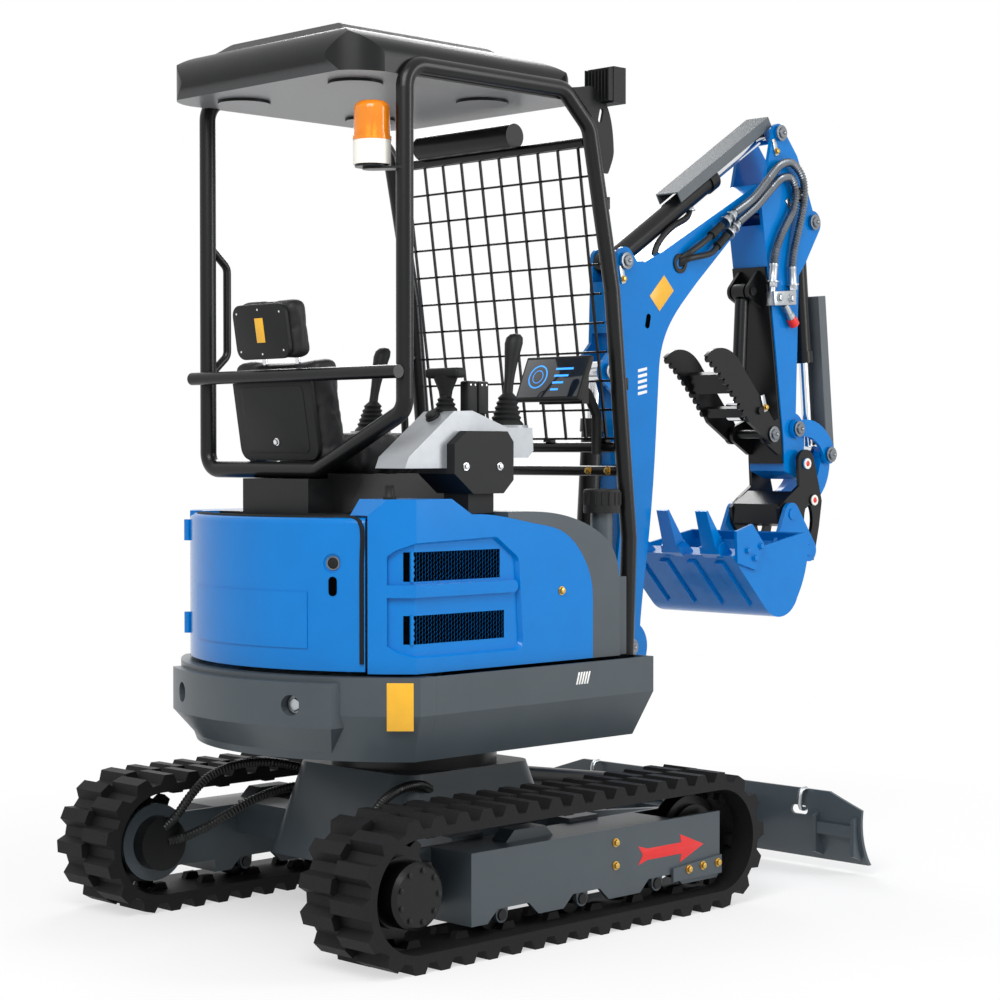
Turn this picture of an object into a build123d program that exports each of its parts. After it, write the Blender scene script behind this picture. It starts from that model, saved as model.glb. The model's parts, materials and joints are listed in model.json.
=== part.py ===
from build123d import *
import math
import os

os.makedirs("parts", exist_ok=True)

# Mini excavator. X points forward, Y to the operator's left, Z up, in millimetres.
# Pieces are drawn about the slewing axis, with the ground at Z = 0, and every
# file is moved by SLEW_X so that the origin lies under the middle of the machine.
SLEW_X = -552.0

# Clearances
FIT = 0.3
RUN_GAP = 5.0

# Tracks and undercarriage
OVERALL_WIDTH = 1250.0
TRACK_WIDTH = 230.0
TRACK_BAND = 22.0
LUG_HEIGHT = 25.0
LUG_COUNT = 40
LUG_BASE = 0.68
LUG_TOP = 0.36
LOOP_RADIUS = 160.0
AXLE_HALF_SPAN = 551.0
GUIDE_HEIGHT = 18.0
GUIDE_IN = 26.0
GUIDE_OUT = 46.0
TRACK_Y = (OVERALL_WIDTH - TRACK_WIDTH) / 2
AXLE_Z = LUG_HEIGHT + LOOP_RADIUS
INNER_RADIUS = LOOP_RADIUS - TRACK_BAND
FRAME_WALL = 12.0
FRAME_HALF = 78.0
FRAME_REAR = 201.0 - AXLE_HALF_SPAN
FRAME_FRONT = AXLE_HALF_SPAN + 39.0
FRAME_LOW = 78.0
FRAME_TOP = 258.0
ROLLER_RADIUS = 42.0
ROLLER_X = (-230.0, 60.0, 350.0)
ROLLER_PIN = 14.0
ROLLER_Z = AXLE_Z - INNER_RADIUS + ROLLER_RADIUS + FIT
MOTOR_RADIUS = 72.0
MOTOR_COVER = 88.0
SPROCKET_TEETH = 11
SPROCKET_WIDTH = 30.0
BEAM_X = 215.0
BEAM_WIDE = 110.0
BEAM_LOW = 178.0
BEAM_TOP = 268.0
BODY_HALF_X = 330.0
BODY_HALF_Y = 250.0
BODY_TOP = 398.0
RING_RADIUS = 225.0
RING_TOP = 444.0

# Dozer blade
BLADE_PIVOT = (370.0, 200.0)
BLADE_X = 1192.0
BLADE_LOW = 30.0
BLADE_TOP = 236.0
BLADE_THICK = 10.0
BLADE_ARM_Y = 190.0
BLADE_ARM_THICK = 24.0
BLADE_CYL_BASE = (340.0, 322.0)
BLADE_CYL_EYE = (1085.0, 210.0)

# Slewing house
HOUSE_HALF = 475.0
HOUSE_FRONT = 445.0
TAIL_RADIUS = 630.0
TAIL_X = -360.0
SKIRT_LOW = 471.0
SKIRT_KNEE = 588.0
SKIRT_TOP = 683.0
SKIRT_TAPER = 19.0
SKIRT_WALL = 10.0
BASE_THICK = 20.0
BUMPER_OUT = 26.0
BUMPER_HALF = 322.0
BUMPER_BOLT_Y = 221.0
BUMPER_BOLT_Z = 612.0
COVER_INSET = 25.0
COVER_LOW = 690.0
COVER_TOP = 1080.0
COVER_WALL = 6.0
COVER_INNER = 290.0
HOOD_ANGLE = 36.0
HOOD_WALL = 24.0
HOOD_GAP = 0.6
HINGE_OUT = 6.0
KNUCKLE = 10.0
HINGE_PIN = 5.0
HINGE_LONG = 28.0
HINGE_Z = (752.0, 1000.0)
COVER_RADIUS = TAIL_RADIUS - COVER_INSET
COVER_HALF = HOUSE_HALF - COVER_INSET
PILLAR_TOP = 1084.0
PLINTH_TOP = 1120.0
FILLER = (335.0, -385.0)
FILLER_Z = 1072.0
FLOOR_THICK = 8.0
ENGINE_FACE = -60.0

GRILLE_REAR = -420.0
GRILLE_ROWS = ((-90.0, 762.0, 833.0), (-105.0, 917.0, 990.0))
GRILLE_BAR = (878.0, 909.0)
GRILLE_SLATS = 5
RECESS = 12.0

# Swing post, boom, arm and bucket pins, as (X, Z)
SWING_X = 600.0
SWING_PIN = 28.0
SWING_HUB = 62.0
NOSE_LOW = 500.0
NOSE_HIGH = 640.0
NOSE_PLATE = 32.0
BOOM_FOOT = (790.0, 662.0)
BOOM_TIP = (1585.0, 2055.0)
BOOM_CYL_BASE = (672.0, 775.0)
BOOM_CYL_EYE = (722.0, 1473.0)
ARM_CYL_BASE = (790.0, 1800.0)
ARM_CYL_EYE = (1496.0, 2243.0)
ARM_TIP = (1600.0, 1200.0)
ROCKER_PIN = (1580.0, 1311.0)
ROCKER_END = (1745.0, 1229.0)
LINK_PIN = (1637.0, 1083.0)
BUCKET_CYL_BASE = (1672.0, 1975.0)
BUCKET_PIN_A = (1505.0, 1041.0)
BUCKET_PIN_B = (1592.0, 925.0)
THUMB_HINGE = (1450.0, 1293.0)
THUMB_CYL_BASE = (1402.0, 1742.0)
THUMB_CYL_EYE = (1380.0, 1366.0)
PIN = 18.0
BOOM_HALF = 55.0
ARM_HALF = 70.0
ROCKER_IN = 73.0
COUPLER_IN = 90.0
EAR_IN = 107.0
PLATE = 12.0
THUMB_TEETH = 10
THUMB_TOOTH = 11.0
TOOTH_Y = (-154.0, 0.0, 154.0)
BUCKET_HALF = 230.0

# Protective canopy
TUBE = 22.0
POST_Y = 398.0
REAR_POST_X = -395.0
POST_FOOT_X = 418.0
ROOF_LOW = 2196.0
ROOF_LIP = 2168.0
ROOF_TOP = 2312.0
ROOF_STEP = 26.0
ROOF_HALF = POST_Y - 6.0
ROOF_REAR = -562.0
ROOF_FRONT = 268.0
ROOF_PANEL = (-450.0, 50.0, 228.0)
BAR_Z = 1435.0
POST_START = 1400.0
POST_KNEE = (270.0, 2105.0)
POST_WAIST = (361.0, 1675.0)
LOOP_Z = 1190.0
FRONT_BARS = ((407.0, 1250.0), (414.0, 1185.0))
FRONT_BAR = 14.0
MESH_LOW = (397.0, 1270.0)
MESH_TOP = (282.0, 2060.0)
STALK = 14.0
BLIND = 34.0
HANDLE = 11.0
BEACON = (-442.0, -330.0)
BEACON_Z = 1947.0
BEACON_RADIUS = 47.0
MESH_PITCH = 76.0
WIRE = 3.0

# Seat and controls
SEAT_Y = 85.0
SEAT_LOW = 1180.0
STICKS = ((25.0, -335.0, 1300.0), (150.0, 345.0, 1290.0))


def save(part, name):
    part = part.moved(Location((SLEW_X, 0, 0)))
    part.label = name
    export_step(part, "parts/" + name + ".step")


def prism(shape, y_low, y_high):
    """A side view, drawn as (X, Z), given its width along Y."""
    with BuildPart() as body:
        with BuildSketch(Plane.XZ.offset(-y_high)):
            add(shape)
        extrude(amount=y_high - y_low)
    return body.part


def outline(*points):
    with BuildSketch() as shape:
        with BuildLine():
            Polyline(*points, close=True)
        make_face()
    return shape.sketch


def slab(points, y_low, y_high):
    return prism(outline(*points), y_low, y_high)


def link_shape(spots):
    """The side view round a row of (X, Z, radius) bosses."""
    with BuildSketch() as shape:
        for x, z, radius in spots:
            with Locations((x, z)):
                Circle(radius)
        make_hull()
    return shape.sketch


def pin(spot, radius, y_low, y_high):
    with BuildPart() as body:
        with BuildSketch(Plane.XZ.offset(-y_high)):
            with Locations(spot):
                Circle(radius)
        extrude(amount=y_high - y_low)
    return body.part


def box(x_low, x_high, y_low, y_high, z_low, z_high):
    with BuildPart() as body:
        with Locations(((x_low + x_high) / 2, (y_low + y_high) / 2, (z_low + z_high) / 2)):
            Box(x_high - x_low, y_high - y_low, z_high - z_low)
    return body.part


def tube(points, radius, bend):
    """A round bar along a bent path."""
    with BuildPart() as body:
        with BuildLine() as path:
            FilletPolyline(*points, radius=bend)
        with BuildSketch(Plane(origin=path.line @ 0, z_dir=path.line % 0)):
            Circle(radius)
        sweep()
    return body.part


def straight(start, end, radius):
    with BuildPart() as body:
        way = Vector(*end) - Vector(*start)
        with BuildSketch(Plane(origin=start, z_dir=way.normalized())):
            Circle(radius)
        extrude(amount=way.length)
    return body.part


def union(*pieces):
    with BuildPart() as body:
        for piece in pieces:
            add(piece)
    return body.part


def without(piece, *cuts):
    with BuildPart() as body:
        add(piece)
        for cut in cuts:
            add(cut, mode=Mode.SUBTRACT)
    return body.part


def both_sides(piece):
    return union(piece, piece.mirror(Plane.XZ))


# Tracks

def loop_point(run, offset):
    """A point at a distance along the track loop, offset outwards from its band."""
    straight_run = 2 * AXLE_HALF_SPAN
    half_turn = math.pi * LOOP_RADIUS
    run = run % (2 * (straight_run + half_turn))
    radius = LOOP_RADIUS + offset
    if run < straight_run:
        return (-AXLE_HALF_SPAN + run, AXLE_Z - radius)
    run -= straight_run
    if run < half_turn:
        turn = run / LOOP_RADIUS - math.pi / 2
        return (AXLE_HALF_SPAN + radius * math.cos(turn), AXLE_Z + radius * math.sin(turn))
    run -= half_turn
    if run < straight_run:
        return (AXLE_HALF_SPAN - run, AXLE_Z + radius)
    turn = (run - straight_run) / LOOP_RADIUS + math.pi / 2
    return (-AXLE_HALF_SPAN + radius * math.cos(turn), AXLE_Z + radius * math.sin(turn))


LOOP_LENGTH = 4 * AXLE_HALF_SPAN + 2 * math.pi * LOOP_RADIUS


def toothed(count, phase, base, height, base_share, top_share):
    points = []
    pitch = LOOP_LENGTH / count
    for index in range(count):
        middle = (index + phase) * pitch
        for share, rise in ((-base_share, 0), (-top_share, height), (top_share, height), (base_share, 0)):
            points.append(loop_point(middle + share * pitch / 2, base + rise))
    return outline(*points)


def stadium(radius):
    with BuildSketch() as shape:
        with Locations((0, AXLE_Z)):
            SlotCenterToCenter(2 * AXLE_HALF_SPAN, 2 * radius)
    return shape.sketch


def track_ring(phase, inside):
    with BuildSketch() as shape:
        add(toothed(LUG_COUNT, phase, 0, LUG_HEIGHT, LUG_BASE, LUG_TOP))
        add(inside, mode=Mode.SUBTRACT)
    return shape.sketch


def track():
    plain = stadium(INNER_RADIUS)
    guides = toothed(LUG_COUNT // 2, 0.25, -TRACK_BAND, -GUIDE_HEIGHT, 0.3, 0.2)
    half = TRACK_WIDTH / 2
    pieces = []
    for side, phase in ((-1, 0.0), (1, 0.5)):
        for low, high, inside in ((0, GUIDE_IN, plain), (GUIDE_IN, GUIDE_OUT, guides), (GUIDE_OUT, half, plain)):
            edges = sorted((side * low, side * high))
            pieces.append(prism(track_ring(phase, inside), edges[0], edges[1]))
    return union(*pieces)


def side_frame():
    """One track frame about its own middle plane: two plates, a lid and the motor bracket."""
    foot = FRAME_LOW
    web = outline((FRAME_REAR, foot), (FRAME_REAR + 55, foot), (FRAME_REAR + 90, foot + 32), (-150, foot + 32),
                  (-115, foot), (-25, foot), (10, foot + 32), (110, foot + 32), (145, foot), (265, foot),
                  (300, foot + 32), (400, foot + 32), (435, foot), (FRAME_FRONT - 12, foot),
                  (FRAME_FRONT, foot + 14), (FRAME_FRONT, FRAME_TOP), (FRAME_REAR, FRAME_TOP))
    with BuildSketch() as bracket:
        with Locations((-AXLE_HALF_SPAN, AXLE_Z)):
            Circle(MOTOR_RADIUS + 32)
        with Locations(((FRAME_REAR - AXLE_HALF_SPAN) / 2 + 20, AXLE_Z)):
            Rectangle(FRAME_REAR + AXLE_HALF_SPAN + 40, 2 * MOTOR_RADIUS)
        with Locations((-AXLE_HALF_SPAN, AXLE_Z)):
            Circle(MOTOR_RADIUS + FIT, mode=Mode.SUBTRACT)
    outer = prism(web, -FRAME_HALF, -FRAME_HALF + FRAME_WALL)
    inner = prism(web, FRAME_HALF - FRAME_WALL, FRAME_HALF)
    lid = box(FRAME_REAR, FRAME_FRONT - 190, -FRAME_HALF, FRAME_HALF, FRAME_TOP - FRAME_WALL, FRAME_TOP)
    back = box(FRAME_REAR, FRAME_REAR + FRAME_WALL, -FRAME_HALF, FRAME_HALF, foot, FRAME_TOP)
    cheek = prism(bracket.sketch, FRAME_HALF - FRAME_WALL, FRAME_HALF)
    pads = []
    for x in ROLLER_X:
        pads.append(box(x - 32, x + 32, -FRAME_HALF, FRAME_HALF, ROLLER_RADIUS * 2 + 62, ROLLER_RADIUS * 2 + 74))
        hanger = link_shape([(x, ROLLER_Z, ROLLER_PIN + 6), (x, ROLLER_RADIUS * 2 + 66, 24)])
        for y in (-GUIDE_OUT - 16, GUIDE_OUT + 2):
            pads.append(without(prism(hanger, y, y + 14), pin((x, ROLLER_Z), ROLLER_PIN + FIT, y - 1, y + 15)))
    skid = slab([(-180, FRAME_TOP), (-150, FRAME_TOP + 28), (-40, FRAME_TOP + 28), (-10, FRAME_TOP)], -26, 26)
    wear = slab([(390, foot + 12), (FRAME_FRONT, foot + 12), (FRAME_FRONT, foot + 62), (390, foot + 48)],
                -FRAME_HALF - 8, -FRAME_HALF)
    axle = pin((AXLE_HALF_SPAN - 22, AXLE_Z), 20, -FRAME_HALF, FRAME_HALF)
    cheeks = slab([(480, AXLE_Z - 40), (FRAME_FRONT, AXLE_Z - 40), (FRAME_FRONT, AXLE_Z + 40), (480, AXLE_Z + 40)],
                  -FRAME_HALF + FRAME_WALL, -GUIDE_OUT)
    body = union(outer, inner, lid, back, cheek, skid, wear, axle, *pads)
    return union(body, cheeks, cheeks.mirror(Plane.XZ))


def drive():
    """Sprocket with its hub cover and travel motor, about the track's middle plane."""
    points = []
    tip = INNER_RADIUS - FIT
    root = tip - 24
    for index in range(SPROCKET_TEETH):
        start = 2 * math.pi * index / SPROCKET_TEETH
        for share, radius in ((0.0, root), (0.28, root), (0.42, tip), (0.72, tip), (0.86, root)):
            turn = start + share * 2 * math.pi / SPROCKET_TEETH
            points.append((radius * math.cos(turn) - AXLE_HALF_SPAN, radius * math.sin(turn) + AXLE_Z))
    wheel = slab(points, -SPROCKET_WIDTH / 2, SPROCKET_WIDTH / 2)
    spot = (-AXLE_HALF_SPAN, AXLE_Z)
    motor = pin(spot, MOTOR_RADIUS, -SPROCKET_WIDTH / 2, FRAME_HALF + 40)
    flange = pin(spot, MOTOR_COVER, -SPROCKET_WIDTH / 2 - 30, -SPROCKET_WIDTH / 2)
    with BuildPart() as hub:
        add(pin(spot, MOTOR_COVER - 6, -TRACK_WIDTH / 2 + 4, -SPROCKET_WIDTH / 2 - 30))
        chamfer(hub.faces().sort_by(Axis.Y)[0].edges(), 10)
    return union(wheel, motor, flange, hub.part)


def wheel_pair(x, z, radius, half, groove):
    """A roller or idler: two rims with a groove between the guide rows."""
    rim = pin((x, z), radius, -half, half)
    flange = pin((x, z), radius - groove, half, half + 14)
    return union(rim, flange, flange.mirror(Plane.XZ))


def rollers():
    pieces = []
    for x in ROLLER_X:
        body = wheel_pair(x, ROLLER_Z, ROLLER_RADIUS, GUIDE_IN - 4, GUIDE_HEIGHT + 6)
        shaft = pin((x, ROLLER_Z), ROLLER_PIN, -FRAME_HALF + FRAME_WALL, FRAME_HALF - FRAME_WALL)
        pieces.append(union(body, shaft))
    return pieces


def idler():
    x = AXLE_HALF_SPAN - 22
    wheel = wheel_pair(x, AXLE_Z, INNER_RADIUS - 22 - FIT, GUIDE_IN - 4, GUIDE_HEIGHT + 6)
    return without(wheel, pin((x, AXLE_Z), 20 + FIT, -FRAME_HALF, FRAME_HALF))


def on_side(piece, side):
    """Set a piece drawn about the track's middle, outer face towards -Y, on one side."""
    if side > 0:
        piece = piece.mirror(Plane.XZ)
    return piece.moved(Location((0, side * TRACK_Y, 0)))


def carbody():
    inner = TRACK_Y - FRAME_HALF
    beam_front = box(BEAM_X - BEAM_WIDE / 2, BEAM_X + BEAM_WIDE / 2, -inner, inner, BEAM_LOW, BEAM_TOP)
    beam_rear = box(-BEAM_X - BEAM_WIDE / 2, -BEAM_X + BEAM_WIDE / 2, -inner, inner, BEAM_LOW, BEAM_TOP)
    with BuildPart() as tower:
        with BuildSketch(Plane.XY.offset(BEAM_TOP - 110)):
            RectangleRounded(2 * BODY_HALF_X, 2 * BODY_HALF_Y, 60)
        with BuildSketch(Plane.XY.offset(BODY_TOP)):
            RectangleRounded(2 * RING_RADIUS + 20, 2 * RING_RADIUS + 10, 60)
        loft()
        with BuildSketch(Plane.XY.offset(BEAM_TOP - 111)):
            RectangleRounded(2 * RING_RADIUS - 30, 2 * RING_RADIUS - 40, 60)
        extrude(amount=BODY_TOP - BEAM_TOP + 96, mode=Mode.SUBTRACT)
    ears = []
    for y in (-BLADE_ARM_Y, BLADE_ARM_Y):
        shape = link_shape([(BODY_HALF_X - 60, BLADE_PIVOT[1], 60), (BLADE_PIVOT[0], BLADE_PIVOT[1], 42)])
        for offset in (-BLADE_ARM_THICK / 2 - RUN_GAP - 14, BLADE_ARM_THICK / 2 + RUN_GAP):
            ears.append(prism(shape, y + offset, y + offset + 14))
        half = BLADE_ARM_THICK / 2 + RUN_GAP + 14
        ears.append(pin(BLADE_PIVOT, PIN, y - half, y + half))
    shape = link_shape([(BODY_HALF_X - 90, BLADE_CYL_BASE[1], 46), (BLADE_CYL_BASE[0], BLADE_CYL_BASE[1], 36)])
    for low in (-44, 32):
        ears.append(prism(shape, low, low + 12))
    ears.append(pin(BLADE_CYL_BASE, PIN, -44, 44))
    return union(beam_front, beam_rear, tower.part, *ears)


def slew_ring():
    with BuildPart() as ring:
        with BuildSketch(Plane.XY.offset(BODY_TOP)):
            Circle(RING_RADIUS)
            Circle(RING_RADIUS - 70, mode=Mode.SUBTRACT)
        extrude(amount=RING_TOP - BODY_TOP)
    return ring.part


def blade():
    """Curved mouldboard with cut corners, end plates, arms and the cylinder's ears."""
    half = OVERALL_WIDTH / 2
    with BuildSketch() as curve:
        with BuildLine():
            rise = BLADE_TOP - BLADE_LOW
            ThreePointArc((BLADE_X + 44, BLADE_LOW), (BLADE_X + 2, BLADE_LOW + 0.55 * rise), (BLADE_X + 18, BLADE_TOP))
            Line((BLADE_X + 18, BLADE_TOP), (BLADE_X + 18 - BLADE_THICK, BLADE_TOP))
            ThreePointArc((BLADE_X + 18 - BLADE_THICK, BLADE_TOP),
                          (BLADE_X + 2 - BLADE_THICK, BLADE_LOW + 0.55 * rise),
                          (BLADE_X + 40 - BLADE_THICK, BLADE_LOW))
            Line((BLADE_X + 40 - BLADE_THICK, BLADE_LOW), (BLADE_X + 44, BLADE_LOW))
        make_face()
    board = prism(curve.sketch, -half, half)
    corner = []
    for side in (-1, 1):
        with BuildPart() as cut:
            with BuildSketch(Plane.YZ.offset(BLADE_X - 60)):
                with BuildLine():
                    Polyline((side * half, BLADE_TOP - 42), (side * (half - 130), BLADE_TOP + 1),
                             (side * half, BLADE_TOP + 1), close=True)
                make_face()
            extrude(amount=160)
        corner.append(cut.part)
    slots = []
    for y in (-400, 400):
        with BuildPart() as slot:
            with BuildSketch(Plane.YZ.offset(BLADE_X - 60)):
                with Locations((y, BLADE_TOP - 62)):
                    SlotOverall(62, 26)
            extrude(amount=160)
        slots.append(slot.part)
    board = without(board, *corner, *slots)
    arms = []
    for y in (-BLADE_ARM_Y, BLADE_ARM_Y):
        shape = link_shape([(BLADE_PIVOT[0], BLADE_PIVOT[1], 34), (BLADE_X - 40, BLADE_LOW + 95, 44),
                            (BLADE_X - 6, BLADE_LOW + 95, 44)])
        low = y - BLADE_ARM_THICK / 2
        arm = prism(shape, low, low + BLADE_ARM_THICK)
        arms.append(without(arm, pin(BLADE_PIVOT, PIN + FIT, low - 1, low + BLADE_ARM_THICK + 1)))
    tie = box(BLADE_X - 90, BLADE_X - 2, -BLADE_ARM_Y, BLADE_ARM_Y, BLADE_LOW + 80, BLADE_LOW + 110)
    ears = []
    shape = link_shape([(BLADE_CYL_EYE[0], BLADE_CYL_EYE[1], 36), (BLADE_X - 50, BLADE_LOW + 110, 40),
                        (BLADE_X - 4, BLADE_TOP - 60, 30)])
    for low in (-44, 32):
        ears.append(prism(shape, low, low + 12))
    ears.append(pin(BLADE_CYL_EYE, PIN, -56, -32))
    ears.append(pin(BLADE_CYL_EYE, PIN, 32, 56))
    ribs = []
    for y in (-half + 12, -half + 150, half - 162, half - 24):
        ribs.append(slab([(BLADE_X - 26, BLADE_LOW + 30), (BLADE_X + 14, BLADE_LOW + 16),
                          (BLADE_X + 2, BLADE_TOP - 56), (BLADE_X - 26, BLADE_TOP - 70)], y, y + 12))
    rails = []
    for y in (-half + 12, half - 162):
        rails.append(box(BLADE_X - 22, BLADE_X + 2, y, y + 150, BLADE_LOW + 84, BLADE_LOW + 118))
    return union(board, tie, *arms, *ears, *ribs, *rails)


# Hydraulic cylinders

def axis_plane(base, eye, distance):
    way = Vector(eye[0] - base[0], 0, eye[1] - base[1]).normalized()
    start = Vector(base[0], 0, base[1]) + way * distance
    return Plane(origin=start, x_dir=(0, 1, 0), z_dir=way)


def barrel(base, eye, length, radius, rod_radius, half_eye, bore=PIN, wall=16):
    """Cylinder tube with its base eye, bored for the rod."""
    with BuildPart() as body:
        with BuildSketch(axis_plane(base, eye, 24)):
            Circle(radius)
        extrude(amount=length - 24)
        with BuildSketch(axis_plane(base, eye, length)):
            Circle(radius + 5)
        extrude(amount=-38)
        add(pin(base, bore + wall, -half_eye, half_eye))
        with BuildSketch(axis_plane(base, eye, length)):
            Circle(rod_radius + FIT)
        extrude(amount=-(length - 60), mode=Mode.SUBTRACT)
        add(pin(base, bore + FIT, -half_eye - 1, half_eye + 1), mode=Mode.SUBTRACT)
    return body.part


def rod(base, eye, start, radius, half_eye):
    """Rod with a filled eye, so nothing else passes through it."""
    reach = math.hypot(eye[0] - base[0], eye[1] - base[1])
    with BuildPart() as body:
        with BuildSketch(axis_plane(base, eye, start)):
            Circle(radius)
        extrude(amount=reach - start)
        add(pin(eye, PIN + 14, -half_eye, half_eye))
    return body.part


def channel(base, eye, start, lift, half, depth):
    """Pressed guard over a rod, open underneath, on a foot that sits on the rod's eye."""
    reach = math.hypot(eye[0] - base[0], eye[1] - base[1])
    with BuildPart() as body:
        for y_low, y_high, z_low, z_high in ((-half, half, lift, lift + 4), (-half, -half + 4, lift - depth, lift),
                                             (half - 4, half, lift - depth, lift)):
            with BuildSketch(axis_plane(base, eye, start)):
                with Locations(((y_low + y_high) / 2, (z_low + z_high) / 2)):
                    Rectangle(y_high - y_low, z_high - z_low)
            extrude(amount=reach + 10 - start)
        with BuildSketch(axis_plane(base, eye, reach - 10)):
            with Locations((0, (PIN + 14 + lift) / 2)):
                Rectangle(2 * half - 12, lift - PIN - 14)
        extrude(amount=20)
    return body.part


# House

def house_plan(inset):
    half = HOUSE_HALF - inset
    with BuildSketch() as plan:
        Circle(TAIL_RADIUS - inset)
        Rectangle(4 * TAIL_RADIUS, 2 * half, mode=Mode.INTERSECT)
        with Locations((TAIL_RADIUS / 2, 0)):
            Rectangle(TAIL_RADIUS, 2 * TAIL_RADIUS, mode=Mode.SUBTRACT)
        with Locations(((TAIL_X + HOUSE_FRONT - inset) / 2, 0)):
            Rectangle(HOUSE_FRONT - inset - TAIL_X, 2 * half)
    return plan.sketch


def tub(inset, low):
    with BuildPart() as body:
        with BuildSketch(Plane.XY.offset(SKIRT_KNEE)):
            add(house_plan(inset))
        extrude(amount=SKIRT_TOP - SKIRT_KNEE)
    with BuildPart() as lower:
        with BuildSketch(Plane.XY.offset(SKIRT_KNEE)):
            add(house_plan(inset))
        with BuildSketch(Plane.XY.offset(low)):
            add(house_plan(inset + (SKIRT_KNEE - low) * math.tan(math.radians(SKIRT_TAPER))))
        loft()
    return union(body.part, lower.part)


def house_frame():
    """Slewing frame: tapered skirt, base plate and the nose that carries the swing post."""
    shell = without(tub(0, SKIRT_LOW), tub(SKIRT_WALL, SKIRT_LOW + BASE_THICK))
    rear = box(-2 * TAIL_RADIUS, TAIL_X, -TAIL_RADIUS, TAIL_RADIUS, 0, COVER_TOP)
    hub = straight((0, 0, RING_TOP + FIT), (0, 0, SKIRT_LOW + 1), RING_RADIUS - 10)
    noses = []
    for z in (NOSE_LOW, NOSE_HIGH - NOSE_PLATE):
        with BuildPart() as nose:
            with BuildSketch(Plane.XY.offset(z)):
                with Locations((HOUSE_FRONT - 60, 0)):
                    Rectangle(80, 300)
                with Locations((SWING_X, 0)):
                    Circle(SWING_HUB)
                make_hull()
            extrude(amount=NOSE_PLATE)
        noses.append(nose.part)
    spindle = straight((SWING_X, 0, NOSE_LOW - 8), (SWING_X, 0, NOSE_HIGH + 8), SWING_PIN)
    webs = []
    for y in (-120, 104):
        webs.append(box(HOUSE_FRONT - 60, HOUSE_FRONT + 50, y, y + 16, NOSE_LOW, NOSE_HIGH))
    return union(without(shell, rear), hub, spindle, *noses, *webs)


def bumper_plan(out, half):
    with BuildSketch() as plan:
        Circle(TAIL_RADIUS + out)
        Rectangle(4 * TAIL_RADIUS, 2 * half, mode=Mode.INTERSECT)
        with Locations((TAIL_RADIUS + TAIL_X, 0)):
            Rectangle(2 * TAIL_RADIUS, 3 * TAIL_RADIUS, mode=Mode.SUBTRACT)
    return plan.sketch


def counterweight():
    """Cast tail: the skirt's shape with a bumper standing proud and two sunk bolt seats."""
    rear = box(-2 * TAIL_RADIUS, TAIL_X - FIT, -TAIL_RADIUS, TAIL_RADIUS, 0, COVER_TOP)
    with BuildPart() as bumper:
        with BuildSketch(Plane.XY.offset(SKIRT_LOW + 12)):
            add(bumper_plan(BUMPER_OUT - 66, BUMPER_HALF - 52))
        with BuildSketch(Plane.XY.offset(SKIRT_KNEE - 30)):
            add(bumper_plan(BUMPER_OUT, BUMPER_HALF))
        loft()
        with BuildSketch(Plane.XY.offset(SKIRT_KNEE - 30)):
            add(bumper_plan(BUMPER_OUT, BUMPER_HALF))
        extrude(amount=SKIRT_TOP - SKIRT_KNEE + 16)
    seats = []
    for y in (-BUMPER_BOLT_Y, BUMPER_BOLT_Y):
        face = math.sqrt((TAIL_RADIUS + BUMPER_OUT) ** 2 - y ** 2)
        out = (-2 * TAIL_RADIUS, 2 * TAIL_RADIUS / face * y, BUMPER_BOLT_Z)
        seats.append(straight((-face + 32, y * (face - 32) / face, BUMPER_BOLT_Z), out, 26))
    with BuildPart() as body:
        add(tub(0, SKIRT_LOW))
        add(rear, mode=Mode.INTERSECT)
        add(bumper.part)
        with BuildSketch(Plane.XY.offset(SKIRT_LOW - 1)):
            Circle(TAIL_RADIUS - 110)
        extrude(amount=SKIRT_TOP - SKIRT_LOW + 2, mode=Mode.SUBTRACT)
    return without(body.part, *seats)


def hinge_bars(radius, start, grow):
    """Round bars on the hood's hinge line, one for each hinge."""
    turn = math.radians(180 - HOOD_ANGLE - HOOD_GAP / 2)
    x = (COVER_RADIUS + HINGE_OUT) * math.cos(turn)
    y = (COVER_RADIUS + HINGE_OUT) * math.sin(turn)
    bars = []
    for z in HINGE_Z:
        low = z + start
        bars.append(straight((x, y, low - grow), (x, y, low + HINGE_LONG + grow), radius))
    return bars


def hood_band(angle, out, low, high):
    """A bent sheet round the tail, as wide as twice an angle."""
    with BuildPart() as body:
        with BuildSketch(Plane.XY.offset(low)):
            with BuildLine():
                turn = math.radians(180 - angle)
                outer = COVER_RADIUS + out
                inner = COVER_RADIUS - HOOD_WALL
                near = (outer * math.cos(turn), outer * math.sin(turn))
                back = (inner * math.cos(turn), inner * math.sin(turn))
                ThreePointArc(near, (-outer, 0), (near[0], -near[1]))
                Line((near[0], -near[1]), (back[0], -back[1]))
                ThreePointArc((back[0], -back[1]), (-inner, 0), back)
                Line(back, near)
            make_face()
        extrude(amount=high - low)
    return body.part


def hood():
    """Rear engine hood, a bent sheet that swings on its left edge, with a raised panel and a lock."""
    with BuildPart() as body:
        add(hood_band(HOOD_ANGLE, 0, COVER_LOW + RUN_GAP, COVER_TOP - RUN_GAP))
        fillet(body.faces().sort_by(Axis.Z)[-1].edges().sort_by(SortBy.LENGTH)[-1], HOOD_WALL * 0.7)
    panel = hood_band(HOOD_ANGLE * 0.6, 3, COVER_LOW + 60, COVER_LOW + 200)
    turn = math.radians(180 + HOOD_ANGLE * 0.78)
    seat = COVER_RADIUS - 8
    lock = straight((seat * math.cos(turn), seat * math.sin(turn), 962),
                    (2 * seat * math.cos(turn), 2 * seat * math.sin(turn), 962), 24)
    upper = HINGE_LONG + FIT
    sheet = without(union(body.part, panel), lock, *hinge_bars(KNUCKLE + 2, 0, 2))
    holes = hinge_bars(HINGE_PIN + FIT, upper, 1)
    return without(union(sheet, *hinge_bars(KNUCKLE, upper, 0)), *holes)


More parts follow.
